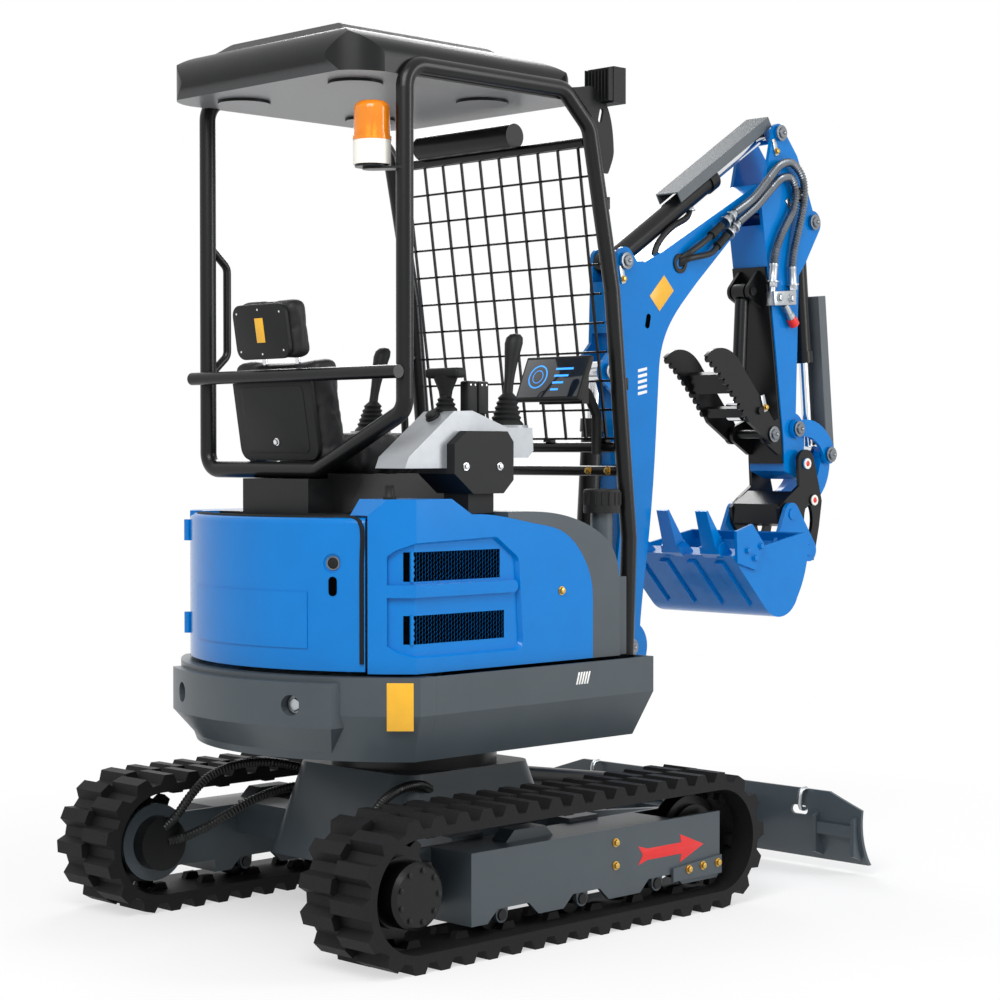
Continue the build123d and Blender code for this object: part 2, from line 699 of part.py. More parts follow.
def cover_profile(inset):
    """Side view of the right-hand cover, with its top falling towards the front."""
    with BuildSketch() as shape:
        with BuildLine():
            start = (-TAIL_RADIUS, COVER_LOW)
            top = COVER_TOP - inset
            Polyline(start, (-TAIL_RADIUS, top), (-200, top))
            Spline((-200, top), (13, 1052 - inset), (132 - inset * 0.4, 1020 - inset), (221 - inset, 909), (231 - inset, 824),
                   tangents=((1, 0), (0, -1)))
            Polyline((231 - inset, 824), (231 - inset, COVER_LOW), start)
        make_face()
    return shape.sketch


def corner_wall(inset, low, high):
    """The house plan between hood and sides, drawn up as a block."""
    with BuildPart() as body:
        with BuildSketch(Plane.XY.offset(low)):
            add(house_plan(COVER_INSET + inset))
        extrude(amount=high - low)
    return body.part


def hood_room():
    """The room that the hood and its running gap take from the covers."""
    with BuildPart() as body:
        with BuildSketch(Plane.XY.offset(COVER_LOW - 1)):
            with BuildLine():
                turn = math.radians(180 - HOOD_ANGLE - HOOD_GAP)
                far = 2 * TAIL_RADIUS
                Polyline((0, 0), (far * math.cos(turn), far * math.sin(turn)),
                         (far * math.cos(turn), -far * math.sin(turn)), close=True)
            make_face()
            Circle(COVER_RADIUS - HOOD_WALL - 8, mode=Mode.SUBTRACT)
        extrude(amount=COVER_TOP)
    return body.part


def cover_room():
    with BuildPart() as body:
        add(corner_wall(COVER_WALL + 14, COVER_LOW - 1, COVER_TOP))
        add(prism(cover_profile(COVER_WALL), -COVER_HALF, -COVER_INNER - COVER_WALL), mode=Mode.INTERSECT)
    return body.part


def recess_shape():
    """Side view of the recess that holds both grilles, with a slanted front corner."""
    with BuildSketch() as shape:
        with BuildLine():
            Polyline((-478, 728), (-30, 728), (-47, 965), (-128, 1022), (-478, 1010), close=True)
        make_face()
        fillet(shape.vertices(), 26)
    return shape.sketch


def bar_shape():
    with BuildSketch() as shape:
        with Locations((-270, sum(GRILLE_BAR) / 2)):
            SlotOverall(440, GRILLE_BAR[1] - GRILLE_BAR[0])
    return shape.sketch


def right_cover():
    """Side cover that wraps the tail's corner, with sunk grilles, a bar between them and a plinth on top."""
    with BuildPart() as sunk:
        with BuildSketch(Plane.XZ.offset(COVER_HALF)):
            add(recess_shape())
        extrude(amount=-90, taper=24)
        add(corner_wall(RECESS, COVER_LOW - 1, COVER_TOP), mode=Mode.SUBTRACT)
    with BuildPart() as bar:
        add(corner_wall(0, COVER_LOW, COVER_TOP))
        add(prism(bar_shape(), -HOUSE_HALF, -COVER_INNER - 40), mode=Mode.INTERSECT)
    with BuildPart() as plinth:
        add(corner_wall(0, COVER_LOW, PLINTH_TOP))
        add(slab([(-486, COVER_TOP), (-455, PLINTH_TOP), (-285, PLINTH_TOP), (-215, COVER_TOP)], -COVER_HALF, -COVER_INNER - 6),
            mode=Mode.INTERSECT)
    rear = GRILLE_REAR
    with BuildPart() as body:
        add(corner_wall(0, COVER_LOW, COVER_TOP))
        add(prism(cover_profile(0), -COVER_HALF, -COVER_INNER), mode=Mode.INTERSECT)
        add(sunk.part, mode=Mode.SUBTRACT)
        add(bar.part)
        add(hood_room(), mode=Mode.SUBTRACT)
        add(cover_room(), mode=Mode.SUBTRACT)
        for front, low, high in GRILLE_ROWS:
            add(box(rear, front, -HOUSE_HALF, -COVER_INNER - 60, low, high), mode=Mode.SUBTRACT)
    slats = []
    for front, low, high in GRILLE_ROWS:
        for step in range(1, GRILLE_SLATS):
            z = low + step * (high - low) / GRILLE_SLATS
            slats.append(box(-405, front + 1, -COVER_HALF + RECESS + 1, -COVER_HALF + RECESS + 6, z - 4, z + 4))
        slats.append(box(-410, -402, -COVER_HALF + RECESS + 1, -COVER_HALF + RECESS + 6, low - 1, high + 1))
    return union(body.part, plinth.part, *slats)


def left_cover():
    with BuildPart() as body:
        add(corner_wall(0, COVER_LOW, COVER_TOP))
        add(box(-TAIL_RADIUS, ENGINE_FACE, COVER_INNER, HOUSE_HALF, 0, COVER_TOP), mode=Mode.INTERSECT)
        add(hood_room(), mode=Mode.SUBTRACT)
        add(corner_wall(COVER_WALL + 14, COVER_LOW - 1, COVER_TOP - COVER_WALL), mode=Mode.SUBTRACT)
    upper = HINGE_LONG + FIT
    panel = without(body.part, *hinge_bars(KNUCKLE + 2, upper, 2))
    return union(panel, *hinge_bars(KNUCKLE, 0, 0), *hinge_bars(HINGE_PIN, upper / 2, HINGE_LONG / 2))


def pillar_profile():
    with BuildSketch() as shape:
        with BuildLine():
            Spline((-86, PILLAR_TOP), (60, PILLAR_TOP - 4), (180, 1056), (298, 992), (338, 860),
                   tangents=((1, 0), (0.05, -1)))
            Polyline((338, 860), (338, COVER_LOW), (225, COVER_LOW), (-86, 1000), (-86, PILLAR_TOP))
        make_face()
        add(cover_profile(-FIT), mode=Mode.SUBTRACT)
    return shape.sketch


def pillar():
    """Grey front cover over the tank, with the stand and neck of the filler."""
    x, y = FILLER
    neck = straight((x, y, 880), (x, y, FILLER_Z), 30)
    stand = box(x - 45, x + 50, -COVER_HALF + 20, -COVER_INNER, COVER_LOW, 900)
    return union(prism(pillar_profile(), -COVER_HALF, -COVER_INNER), stand, neck)


def fuel_cap():
    """Filler cap with grip ribs round its rim."""
    x, y = FILLER
    with BuildPart() as cap:
        with BuildSketch(Plane.XY.offset(FILLER_Z)):
            with Locations((x, y)):
                Circle(50)
        extrude(amount=65)
        fillet(cap.faces().sort_by(Axis.Z)[-1].edges(), 6)
        with BuildSketch(Plane.XY.offset(FILLER_Z + 22)):
            with Locations((x, y)):
                with PolarLocations(50, 16):
                    Circle(3)
        extrude(amount=34)
    return cap.part


def deck():
    """Floor plate, engine bulkhead and the platform under the seat."""
    floor = box(ENGINE_FACE, HOUSE_FRONT, -COVER_INNER + FIT, HOUSE_HALF, SKIRT_TOP, SKIRT_TOP + FLOOR_THICK)
    foot = straight((POST_FOOT_X, POST_Y, 0), (POST_FOOT_X, POST_Y, COVER_TOP), TUBE + 3)
    wall = box(ENGINE_FACE - 8, ENGINE_FACE, -COVER_INNER + FIT, COVER_INNER, SKIRT_TOP, COVER_TOP)
    top = box(-440, ENGINE_FACE, -COVER_INNER + FIT, COVER_INNER - FIT, COVER_TOP - 8, COVER_TOP)
    return union(without(floor, foot), wall, top)


def engine():
    return box(-420, -110, -230, 230, SKIRT_LOW + BASE_THICK, 960)


def seat_base():
    rest = box(-440, -362, -79, 190, COVER_TOP, LOOP_Z - TUBE - FIT)
    return union(rest, box(-362, 60, SEAT_Y - 150, SEAT_Y + 120, COVER_TOP, SEAT_LOW))


def seat():
    """Cushion, back and headrest, as plain upholstered forms."""
    with BuildPart() as cushion:
        with BuildSketch(Plane.XY.offset(SEAT_LOW)):
            with Locations((-120, SEAT_Y)):
                RectangleRounded(440, 400, 70)
        extrude(amount=105)
        fillet(cushion.faces().sort_by(Axis.Z)[-1].edges(), 30)
    with BuildPart() as back:
        with BuildSketch(Plane.YZ.offset(-366)):
            with Locations((SEAT_Y, SEAT_LOW + 160)):
                RectangleRounded(370, 290, 50)
        extrude(amount=85)
    with BuildPart() as rest:
        with BuildSketch(Plane.YZ.offset(-366)):
            with Locations((SEAT_Y, 1553)):
                RectangleRounded(215, 150, 40)
        extrude(amount=70)
    posts = []
    for y in (SEAT_Y - 50, SEAT_Y + 50):
        posts.append(straight((-330, y, SEAT_LOW + 290), (-330, y, 1490), 7))
    return union(cushion.part, back.part, rest.part, *posts)


def consoles():
    """Control boxes beside the seat: the right one eight-sided with its own foot, the left one plain."""
    low = 1131
    right = slab([(-254, 1182), (-188, low), (-81, low), (-45, 1165), (-45, 1263), (-67, 1290), (-209, 1290), (-254, 1257)],
                 -428, -292)
    foot = box(-180, -90, -400, -310, COVER_TOP, low)
    left = slab([(-120, 1170), (170, 1200), (200, 1240), (190, 1290), (-90, 1290), (-120, 1260)], 290, 400)
    stem = box(-110, -60, 300, 380, COVER_TOP, 1176)
    return [union(right, foot), union(left, stem)]


def console_lid():
    """Sloping armrest cover of the right console."""
    with BuildSketch() as side:
        with BuildLine():
            Polyline((-396, 1196), (-384, 1224), (-230, 1340), (-165, 1342), (-40, 1300), (52, 1300), (56, 1240), (36, 1222),
                     (-44.5, 1222), (-44.5, 1263), (-66, 1290.5), (-209, 1290.5), (-254.5, 1257), (-254.5, 1196), close=True)
        make_face()
    return prism(side.sketch, -400, -288)


def joysticks():
    """Control levers: bellows boots with grips that swell towards the top."""
    sticks = []
    for x, y, z in STICKS:
        with BuildPart() as stick:
            with BuildSketch(Plane(origin=(x, y, z), x_dir=(1, 0, 0), z_dir=(0, -1, 0))):
                with BuildLine():
                    Polyline((0, 236), (0, 0), (44, 0), (44, 14), (34, 20), (38, 30), (27, 38), (31, 48), (20, 58),
                             (24, 66), (13, 80))
                    Spline((13, 80), (20, 112), (22, 160), (29, 205), (20, 230), (0, 236), tangents=((0, 1), (-1, 0)))
                make_face()
            revolve(axis=Axis((x, y, z), (0, 0, 1)))
        sticks.append(stick.part)
    return sticks


def monitor():
    screen = box(236, 262, -405, -245, 1366, 1482)
    bar_x, bar_z = FRONT_BARS[0]
    foot = bar_x - FRONT_BAR - STALK - FIT / 3
    stalk = tube([(262, -325, 1410), (340, -325, 1400), (foot, -325, 1340), (foot, -325, bar_z - 20)], STALK, 20)
    return union(screen, stalk)


def post_points(side):
    y = side * POST_Y
    return [(REAR_POST_X, y, POST_START), (REAR_POST_X, y, ROOF_LOW), (170, y, ROOF_LOW), (POST_KNEE[0], y, POST_KNEE[1]),
            (POST_WAIST[0], y, POST_WAIST[1]), (430, y, 1000), (POST_FOOT_X, y, SKIRT_TOP + 1.2)]


def rops_side(side):
    return tube(post_points(side), TUBE, 60)


def grab_handles():
    """Entry handles on the left posts."""
    y = POST_Y
    rear = tube([(REAR_POST_X, y, 1800), (REAR_POST_X + 65, y, 1740), (REAR_POST_X + 65, y, 1500), (REAR_POST_X, y, 1440)],
                HANDLE, 30)
    front = tube([(376, y, 1530), (318, y, 1480), (330, y, 1260), (402, y, 1210)], HANDLE, 30)
    return [rear, front]


def rops_rear():
    """Lower loop behind the seat and the straight bar above it."""
    x = REAR_POST_X
    low = LOOP_Z
    loop = tube([(x, POST_Y, POST_START), (x, POST_Y, low), (x, -67, low), (x, -POST_Y, low + 150),
                 (x, -POST_Y, POST_START)], TUBE, 45)
    back = x - TUBE - 17 - FIT
    bar = straight((back, POST_Y + 20, BAR_Z), (back, -POST_Y - 20, BAR_Z), 17)
    return union(loop, bar)


def rops_front():
    bars = []
    for x, z in FRONT_BARS:
        bars.append(straight((x, -POST_Y + TUBE, z), (x, POST_Y - TUBE, z), FRONT_BAR))
    return bars


def roof_side():
    """Side view of the roof: drooping rear lip, raised panel and a nose that falls to the front."""
    rear, front, half = ROOF_PANEL
    shoulder = ROOF_TOP - ROOF_STEP
    with BuildSketch() as shape:
        with BuildLine():
            Polyline((ROOF_REAR + 14, ROOF_LIP), (ROOF_FRONT - 6, ROOF_LIP), (ROOF_FRONT, ROOF_LIP + 18))
            Spline((ROOF_FRONT, ROOF_LIP + 18), (ROOF_FRONT - 32, ROOF_LIP + 54), (139, shoulder - 14), (front + 30, shoulder),
                   tangents=((-0.4, 1), (-1, 0.1)))
            Polyline((front + 30, shoulder), (front, ROOF_TOP), (rear, ROOF_TOP), (rear - 28, shoulder))
            Spline((rear - 28, shoulder), (ROOF_REAR + 25, shoulder - 24), (ROOF_REAR, ROOF_LIP + 38),
                   (ROOF_REAR + 14, ROOF_LIP), tangents=((-1, -0.1), (0.5, -1)))
        make_face()
    return shape.sketch


def roof_rear():
    """Rear view of the roof, as (Y, Z): rounded sides and the S-shaped rise to the panel."""
    half = ROOF_PANEL[2]
    shoulder = ROOF_TOP - ROOF_STEP
    with BuildSketch() as shape:
        for side in (-1, 1):
            with BuildLine():
                Polyline((0, ROOF_LIP), (side * ROOF_HALF, ROOF_LIP), (side * ROOF_HALF, ROOF_LIP + 40))
                Spline((side * ROOF_HALF, ROOF_LIP + 40), (side * (ROOF_HALF - 44), shoulder - 22), (side * (half + 50), shoulder),
                       tangents=((0, 1), (-side, 0.1)))
                Spline((side * (half + 50), shoulder), (side * (half + 14), shoulder + 0.5 * ROOF_STEP),
                       (side * (half - 20), ROOF_TOP), tangents=((-side, 0.1), (-side, 0)))
                Polyline((side * (half - 20), ROOF_TOP), (0, ROOF_TOP), (0, ROOF_LIP))
            make_face()
    return shape.sketch


def roof():
    """Pressed roof between the side tubes, with a lining and four round vents below."""
    long = ROOF_FRONT - ROOF_REAR
    rear, front, half = ROOF_PANEL
    shoulder = ROOF_TOP - ROOF_STEP
    rooms = ((ROOF_REAR + 30, ROOF_FRONT - 55, ROOF_HALF - 44, ROOF_LIP + 8, shoulder - 50),
             (rear - 20, front + 40, half + 40, shoulder - 51, shoulder - 10),
             (rear + 10, front - 10, half - 30, shoulder - 11, ROOF_TOP - 8))
    with BuildPart() as body:
        add(prism(roof_side(), -ROOF_HALF, ROOF_HALF))
        with BuildSketch(Plane.YZ.offset(ROOF_REAR - 1)):
            add(roof_rear())
        extrude(amount=long + 2, mode=Mode.INTERSECT)
        with BuildSketch(Plane.XY.offset(ROOF_LIP - 1)):
            with Locations(((ROOF_FRONT + ROOF_REAR) / 2, 0)):
                RectangleRounded(long + 4, 2 * ROOF_HALF + 2, 125)
        extrude(amount=ROOF_TOP - ROOF_LIP + 2, mode=Mode.INTERSECT)
        for rear, front, half, low, high in rooms:
            with BuildSketch(Plane.XY.offset(low)):
                with Locations(((rear + front) / 2, 0)):
                    RectangleRounded(front - rear, 2 * half, 90)
            extrude(amount=high - low, mode=Mode.SUBTRACT)
        with BuildSketch(Plane.XY.offset(ROOF_LIP)):
            with Locations((-405, -225), (-405, 225), (40, -225), (40, 225)):
                Circle(70)
        extrude(amount=-8)
    return without(body.part, rops_side(1), rops_side(-1))


def mesh_guard():
    """Welded wire guard between the front posts: upright wires with cross wires on their front."""
    reach = math.hypot(MESH_TOP[0] - MESH_LOW[0], MESH_TOP[1] - MESH_LOW[1])
    lean = Plane(origin=(MESH_LOW[0], 0, MESH_LOW[1]), x_dir=(0, 1, 0),
                 z_dir=(MESH_TOP[1] - MESH_LOW[1], 0, MESH_LOW[0] - MESH_TOP[0]))
    half = POST_Y - TUBE - 6
    columns = int(2 * half / MESH_PITCH)
    rows = int(reach / MESH_PITCH)
    with BuildPart() as wires:
        with BuildSketch(lean):
            with Locations((0, reach / 2)):
                with GridLocations(MESH_PITCH, reach, columns + 1, 1):
                    Rectangle(2 * WIRE, reach)
        extrude(amount=2 * WIRE)
        with BuildSketch(lean.offset(2 * WIRE - 1)):
            with Locations((0, reach / 2)):
                with GridLocations(2 * half, (reach - 2 * WIRE) / rows, 1, rows + 1):
                    Rectangle(2 * half, 2 * WIRE)
        extrude(amount=2 * WIRE)
    bar_x, bar_z = FRONT_BARS[0]
    clips = []
    for y in (-half + 40, -120, 120, half - 40):
        clips.append(box(MESH_LOW[0] - 2, bar_x + 8, y - 14, y + 14, bar_z + FRONT_BAR, MESH_LOW[1] + 2 * WIRE))
    slope = (POST_WAIST[0] - POST_KNEE[0]) / (POST_KNEE[1] - POST_WAIST[1])
    rail_x = POST_KNEE[0] + (POST_KNEE[1] - MESH_TOP[1] - 8) * slope
    rail = straight((rail_x, -POST_Y + TUBE, MESH_TOP[1] + 8), (rail_x, POST_Y - TUBE, MESH_TOP[1] + 8), FRONT_BAR - 1)
    roll = straight((rail_x - 21, -130, MESH_TOP[1] + 47), (rail_x - 21, 250, MESH_TOP[1] + 47), BLIND)
    return union(wires.part, rail, roll, *clips)


def beacon():
    """Amber lens with a rounded crown and a thicker foot ring."""
    x, y = BEACON
    with BuildPart() as lens:
        add(straight((x, y, BEACON_Z + 60), (x, y, BEACON_Z + 157), BEACON_RADIUS - 2))
        fillet(lens.faces().sort_by(Axis.Z)[-1].edges(), 20)
        add(straight((x, y, BEACON_Z + 60), (x, y, BEACON_Z + 70), BEACON_RADIUS + 1))
    return lens.part


def beacon_base():
    x, y = BEACON
    return straight((x, y, BEACON_Z), (x, y, BEACON_Z + 60), BEACON_RADIUS)


def beacon_bracket():
    """Round plate on a pointed arm from the right rear post."""
    x, y = BEACON
    with BuildPart() as body:
        with BuildSketch(Plane.XY.offset(BEACON_Z - 6)):
            with Locations((x, y)):
                Circle(BEACON_RADIUS - 4)
        extrude(amount=6)
        with BuildSketch(Plane.XY.offset(BEACON_Z - 12)):
            with Locations((x, y)):
                Circle(24)
            with Locations((REAR_POST_X, -POST_Y)):
                Circle(TUBE)
            make_hull()
        extrude(amount=6)
    return without(body.part, rops_side(-1))


def work_light():
    """Finned lamp on a slotted plate that follows the front post's bend."""
    with BuildSketch() as side:
        with BuildLine():
            Spline((200, 2203), (289, 2211), (341, 2160), (363, 2060), (341, 1987), tangents=((1, 0.1), (-0.5, -1)))
            Polyline((341, 1987), (300, 1990), (250, 2120), (200, 2160), (200, 2203))
        make_face()
        with Locations((312, 2140)):
            SlotOverall(40, 15, rotation=75, mode=Mode.SUBTRACT)
    plate = without(prism(side.sketch, -POST_Y - 4, -POST_Y + 4), rops_side(-1))
    lamp = box(318, 366, -POST_Y - 45, -POST_Y + 45, 2172, 2268)
    fins = []
    for step in range(8):
        y = -POST_Y - 43 + step * 12
        fins.append(box(300, 318, y, y + 4, 2176, 2264))
    return union(plate, lamp, *fins)


# Swing post, boom and arm

def swing_post():
    """Casting that turns on the house's nose and carries the boom's foot and its cylinder."""
    low = NOSE_LOW + NOSE_PLATE + RUN_GAP
    high = NOSE_HIGH - NOSE_PLATE - RUN_GAP
    hub = straight((SWING_X, 0, low), (SWING_X, 0, high), SWING_HUB)
    core = box(SWING_X, SWING_X + 110, -70, 70, low, high)
    ears = []
    shape = link_shape([(BOOM_FOOT[0], BOOM_FOOT[1], 76), (SWING_X + 105, low + 40, 40), (BOOM_FOOT[0], low, 50)])
    tall = link_shape([(BOOM_CYL_BASE[0], BOOM_CYL_BASE[1], 34), (SWING_X + 100, high + 30, 26), (BOOM_FOOT[0], BOOM_FOOT[1], 50)])
    for side in (-1, 1):
        y = side * (BOOM_HALF + RUN_GAP + 9)
        ears.append(prism(shape, y - 9, y + 9))
        ears.append(prism(tall, y - 9, y + 9))
    cheek = box(SWING_X + 70, SWING_X + 110, -BOOM_HALF - RUN_GAP - 18, BOOM_HALF + RUN_GAP + 18, low, high)
    foot_pin = pin(BOOM_FOOT, PIN + 4, -BOOM_HALF - 30, BOOM_HALF + 30)
    base_pin = pin(BOOM_CYL_BASE, PIN, -BOOM_HALF - 30, BOOM_HALF + 30)
    body = union(hub, core, cheek, foot_pin, base_pin, *ears)
    return without(body, straight((SWING_X, 0, 0), (SWING_X, 0, COVER_TOP), SWING_PIN + FIT))


def boom_shape():
    with BuildSketch() as shape:
        with BuildLine():
            foot_x, foot_z = BOOM_FOOT
            tip_x, tip_z = BOOM_TIP
            Spline((foot_x + 66, foot_z), (895, 957), (926, 1231), (944, 1487), tangents=((0.05, 1), (0.08, 1)))
            Spline((944, 1487), (1026, 1664), (1118, 1754), tangents=((0.08, 1), (0.72, 0.7)))
            Line((1118, 1754), (1380, 1985))
            Line((1380, 1985), (tip_x + 10, tip_z - 52))
            ThreePointArc((tip_x + 10, tip_z - 52), (tip_x + 52, tip_z), (tip_x, tip_z + 52))
            Line((tip_x, tip_z + 52), (1405, 2075))
            Line((1405, 2075), (965, 1840))
            Line((965, 1840), (880, 1802))
            Line((880, 1802), (845, 1802))
            Line((845, 1802), (822, 1828))
            ThreePointArc((822, 1828), (790, 1842), (760, 1822))
            Line((760, 1822), (752, 1560))
            Line((752, 1560), (700, 1505))
            ThreePointArc((700, 1505), (682, 1473), (700, 1440))
            Line((700, 1440), (768, 1390))
            Line((768, 1390), (772, 1000))
            Line((772, 1000), (foot_x - 66, foot_z))
            ThreePointArc((foot_x - 66, foot_z), (foot_x, foot_z - 66), (foot_x + 66, foot_z))
        make_face()
    return shape.sketch


def boom():
    """Curved boom: two side plates on a box, with open forks for both cylinders."""
    full = boom_shape()
    with BuildSketch() as inner:
        add(full)
        with Locations((700, 1473)):
            Rectangle(150, 230, mode=Mode.SUBTRACT)
        with Locations((790, 1840)):
            Rectangle(200, 200, mode=Mode.SUBTRACT)
        with Locations((700, 900)):
            Rectangle(165, 600, mode=Mode.SUBTRACT)
    hollow = outline((795, 1010), (880, 1010), (910, 1231), (928, 1490), (1012, 1672), (1108, 1765),
                     (1370, 1997), (1510, 2024), (1510, 2068), (1410, 2060), (960, 1820), (905, 1770), (895, 1728), (795, 1728))
    core = prism(inner.sketch, -BOOM_HALF + PLATE, BOOM_HALF - PLATE)
    core = without(core, prism(hollow, -BOOM_HALF + PLATE, BOOM_HALF - PLATE))
    body = union(core, both_sides(prism(full, -BOOM_HALF, -BOOM_HALF + PLATE)))
    cuts = [pin(BOOM_FOOT, PIN + 4 + FIT, -200, 200), pin(BOOM_TIP, PIN + 4 + FIT, -200, 200)]
    pins = [pin(ARM_CYL_BASE, PIN, -BOOM_HALF - 8, BOOM_HALF + 8)]
    for side in (-1, 1):
        edges = sorted((side * (BOOM_HALF - PLATE), side * (BOOM_HALF + 12)))
        pins.append(pin(BOOM_CYL_EYE, PIN, edges[0], edges[1]))
    return union(without(body, *cuts), *pins)


def arm_shape():
    with BuildSketch() as shape:
        with BuildLine():
            eye_x, eye_z = ARM_CYL_EYE
            Line((1470, 1654), (1522, 1290))
            Line((1522, 1290), (1530, 1177))
            Line((1530, 1177), (1600, 1150))
            ThreePointArc((1600, 1150), (1646, 1190), (1630, 1240))
            Line((1630, 1240), (1625, 1311))
            ThreePointArc((1625, 1311), (1612, 1345), (1587, 1360))
            Line((1587, 1360), (1600, 1800))
            Line((1600, 1800), (1640, 1850))
            Line((1640, 1850), (1706, 1950))
            ThreePointArc((1706, 1950), (1708, 1992), (1672, 2012))
            Line((1672, 2012), (1650, 2060))
            Line((1650, 2060), (1590, 2180))
            Line((1590, 2180), (eye_x + 28, eye_z + 10))
            ThreePointArc((eye_x + 28, eye_z + 10), (eye_x - 5, eye_z + 30), (eye_x - 30, eye_z))
            Line((eye_x - 30, eye_z), (1410, 2010))
            Line((1410, 2010), (1470, 1654))
        make_face()
    return shape.sketch


def arm():
    """Arm: side plates that straddle the boom's tip, on a closed box below."""
    full = arm_shape()
    with BuildSketch() as lower:
        add(full)
        with Locations((1560, 2160)):
            Rectangle(700, 420, mode=Mode.SUBTRACT)
        with Locations((1700, 1920)):
            Rectangle(184, 320, mode=Mode.SUBTRACT)
    with BuildSketch() as hollow:
        offset(lower.sketch, amount=-10)
    inner = ARM_HALF - PLATE
    core = without(prism(lower.sketch, -inner, inner), prism(hollow.sketch, -inner, inner))
    plates = both_sides(prism(full, -ARM_HALF, -inner))
    pins = [pin(ARM_TIP, PIN, -COUPLER_IN - PLATE - 4, COUPLER_IN + PLATE + 4),
            pin(BOOM_TIP, PIN + 4, -ARM_HALF - 8, ARM_HALF + 8),
            pin(ROCKER_PIN, PIN, -ROCKER_IN - PLATE - 4, ROCKER_IN + PLATE + 4),
            pin(BUCKET_CYL_BASE, PIN, -ARM_HALF - 8, ARM_HALF + 8)]
    for side in (-1, 1):
        edges = sorted((side * inner, side * (ARM_HALF + 10)))
        pins.append(pin(ARM_CYL_EYE, PIN, edges[0], edges[1]))
    return union(core, plates, *pins)


def thumb_base():
    """Black carrier on the arm's rear face, with the ears for the thumb and its cylinder."""
    half = ARM_HALF - 4
    plate = slab([(1432, 1820), (1441, 1820), (1469, 1654), (1521, 1290), (1527, 1200), (1517, 1200), (1511, 1290),
                  (1459, 1654)], -half, half)
    low_ear = link_shape([(THUMB_HINGE[0], THUMB_HINGE[1], 30), (1500, 1330, 12), (1508, 1240, 12)])
    top_ear = link_shape([(THUMB_CYL_BASE[0], THUMB_CYL_BASE[1], 26), (1450, 1700, 8), (1432, 1800, 8)])
    ears = []
    for side in (-1, 1):
        y = side * (half - 6)
        ears.append(prism(low_ear, y - 6, y + 6))
        y = side * 36
        ears.append(prism(top_ear, y - 5, y + 5))
    pins = [pin(THUMB_HINGE, PIN - 4, -half - 24, half + 24), pin(THUMB_CYL_BASE, PIN - 4, -46, 46)]
    return union(plate, *ears, *pins)


def thumb():
    """Two toothed plates joined by a cross plate, with open ears for the cylinder's rod."""
    hinge_x, hinge_z = THUMB_HINGE
    eye_x, eye_z = THUMB_CYL_EYE
    with BuildSketch() as shape:
        with BuildLine():
            tip = (1125, 1530)
            crest = (1205, 1556)
            Spline(tip, crest, (1300, 1500), tangents=((0.75, 0.66), (0.62, -0.78)))
            Line((1300, 1500), (hinge_x + 26, hinge_z + 18))
            ThreePointArc((hinge_x + 26, hinge_z + 18), (hinge_x + 10, hinge_z - 30), (hinge_x - 26, hinge_z - 18))
            Line((hinge_x - 26, hinge_z - 18), (1330, 1330))
            edge = Spline((1330, 1330), (1235, 1440), tip, tangents=((-0.55, 0.83), (-0.86, 0.5)))
        make_face()
        for step in range(THUMB_TEETH):
            with Locations(edge @ (0.12 + 0.82 * step / (THUMB_TEETH - 1))):
                Circle(THUMB_TOOTH)
    pieces = []
    inner = ARM_HALF + 6
    for side in (-1, 1):
        edges = sorted((side * inner, side * (inner + PLATE)))
        plate = prism(shape.sketch, edges[0], edges[1])
        bore = pin(THUMB_HINGE, PIN - 4 + FIT, edges[0] - 1, edges[1] + 1)
        pieces.append(without(plate, bore))
    bridge = slab([(1222, 1476), (1240, 1486), (1275, 1428), (1257, 1418)], -inner, inner)
    tie = slab([(1308, 1372), (1322, 1380), (1338, 1352), (1324, 1344)], -inner, inner)
    for side in (-1, 1):
        edges = sorted((side * 34, side * (inner + PLATE + 8)))
        pieces.append(pin(THUMB_CYL_EYE, PIN - 6, edges[0], edges[1]))
    return union(bridge, tie, *pieces)


def rocker():
    """Pair of banana links from the arm to the bucket cylinder's eye."""
    with BuildSketch() as shape:
        for spot, radius in ((ROCKER_PIN, 30), (ROCKER_END, 30)):
            with Locations(spot):
                Circle(radius)
        with BuildLine():
            ThreePointArc((1592, 1338), (1700, 1322), (1772, 1240))
            Line((1772, 1240), (1722, 1210))
            ThreePointArc((1722, 1210), (1672, 1272), (1578, 1282))
            Line((1578, 1282), (1592, 1338))
        make_face()
    pieces = []
    for side in (-1, 1):
        edges = sorted((side * ROCKER_IN, side * (ROCKER_IN + PLATE)))
        plate = prism(shape.sketch, edges[0], edges[1])
        pieces.append(without(plate, pin(ROCKER_PIN, PIN + FIT, edges[0] - 1, edges[1] + 1)))
        edges = sorted((side * 35, side * (ROCKER_IN + PLATE + 6)))
        pieces.append(pin(ROCKER_END, PIN, edges[0], edges[1]))
    return pieces


def bucket_link():
    """Two curved cheeks from the rocker's pin to the coupler, open at the coupler's pin."""
    with BuildSketch() as shape:
        for spot, radius in ((ROCKER_END, 28), (LINK_PIN, 28)):
            with Locations(spot):
                Circle(radius)
        with BuildLine():
            ThreePointArc((1770, 1216), (1742, 1120), (1655, 1062))
            Line((1655, 1062), (1620, 1104))
            ThreePointArc((1620, 1104), (1700, 1152), (1718, 1236))
            Line((1718, 1236), (1770, 1216))
        make_face()
    pieces = []
    for side in (-1, 1):
        edges = sorted((side * 40, side * 66))
        plate = prism(shape.sketch, edges[0], edges[1])
        pieces.append(without(plate, pin(ROCKER_END, PIN + FIT, edges[0] - 1, edges[1] + 1)))
    cross = pin(LINK_PIN, 24, -66, 66)
    return union(cross, *pieces)


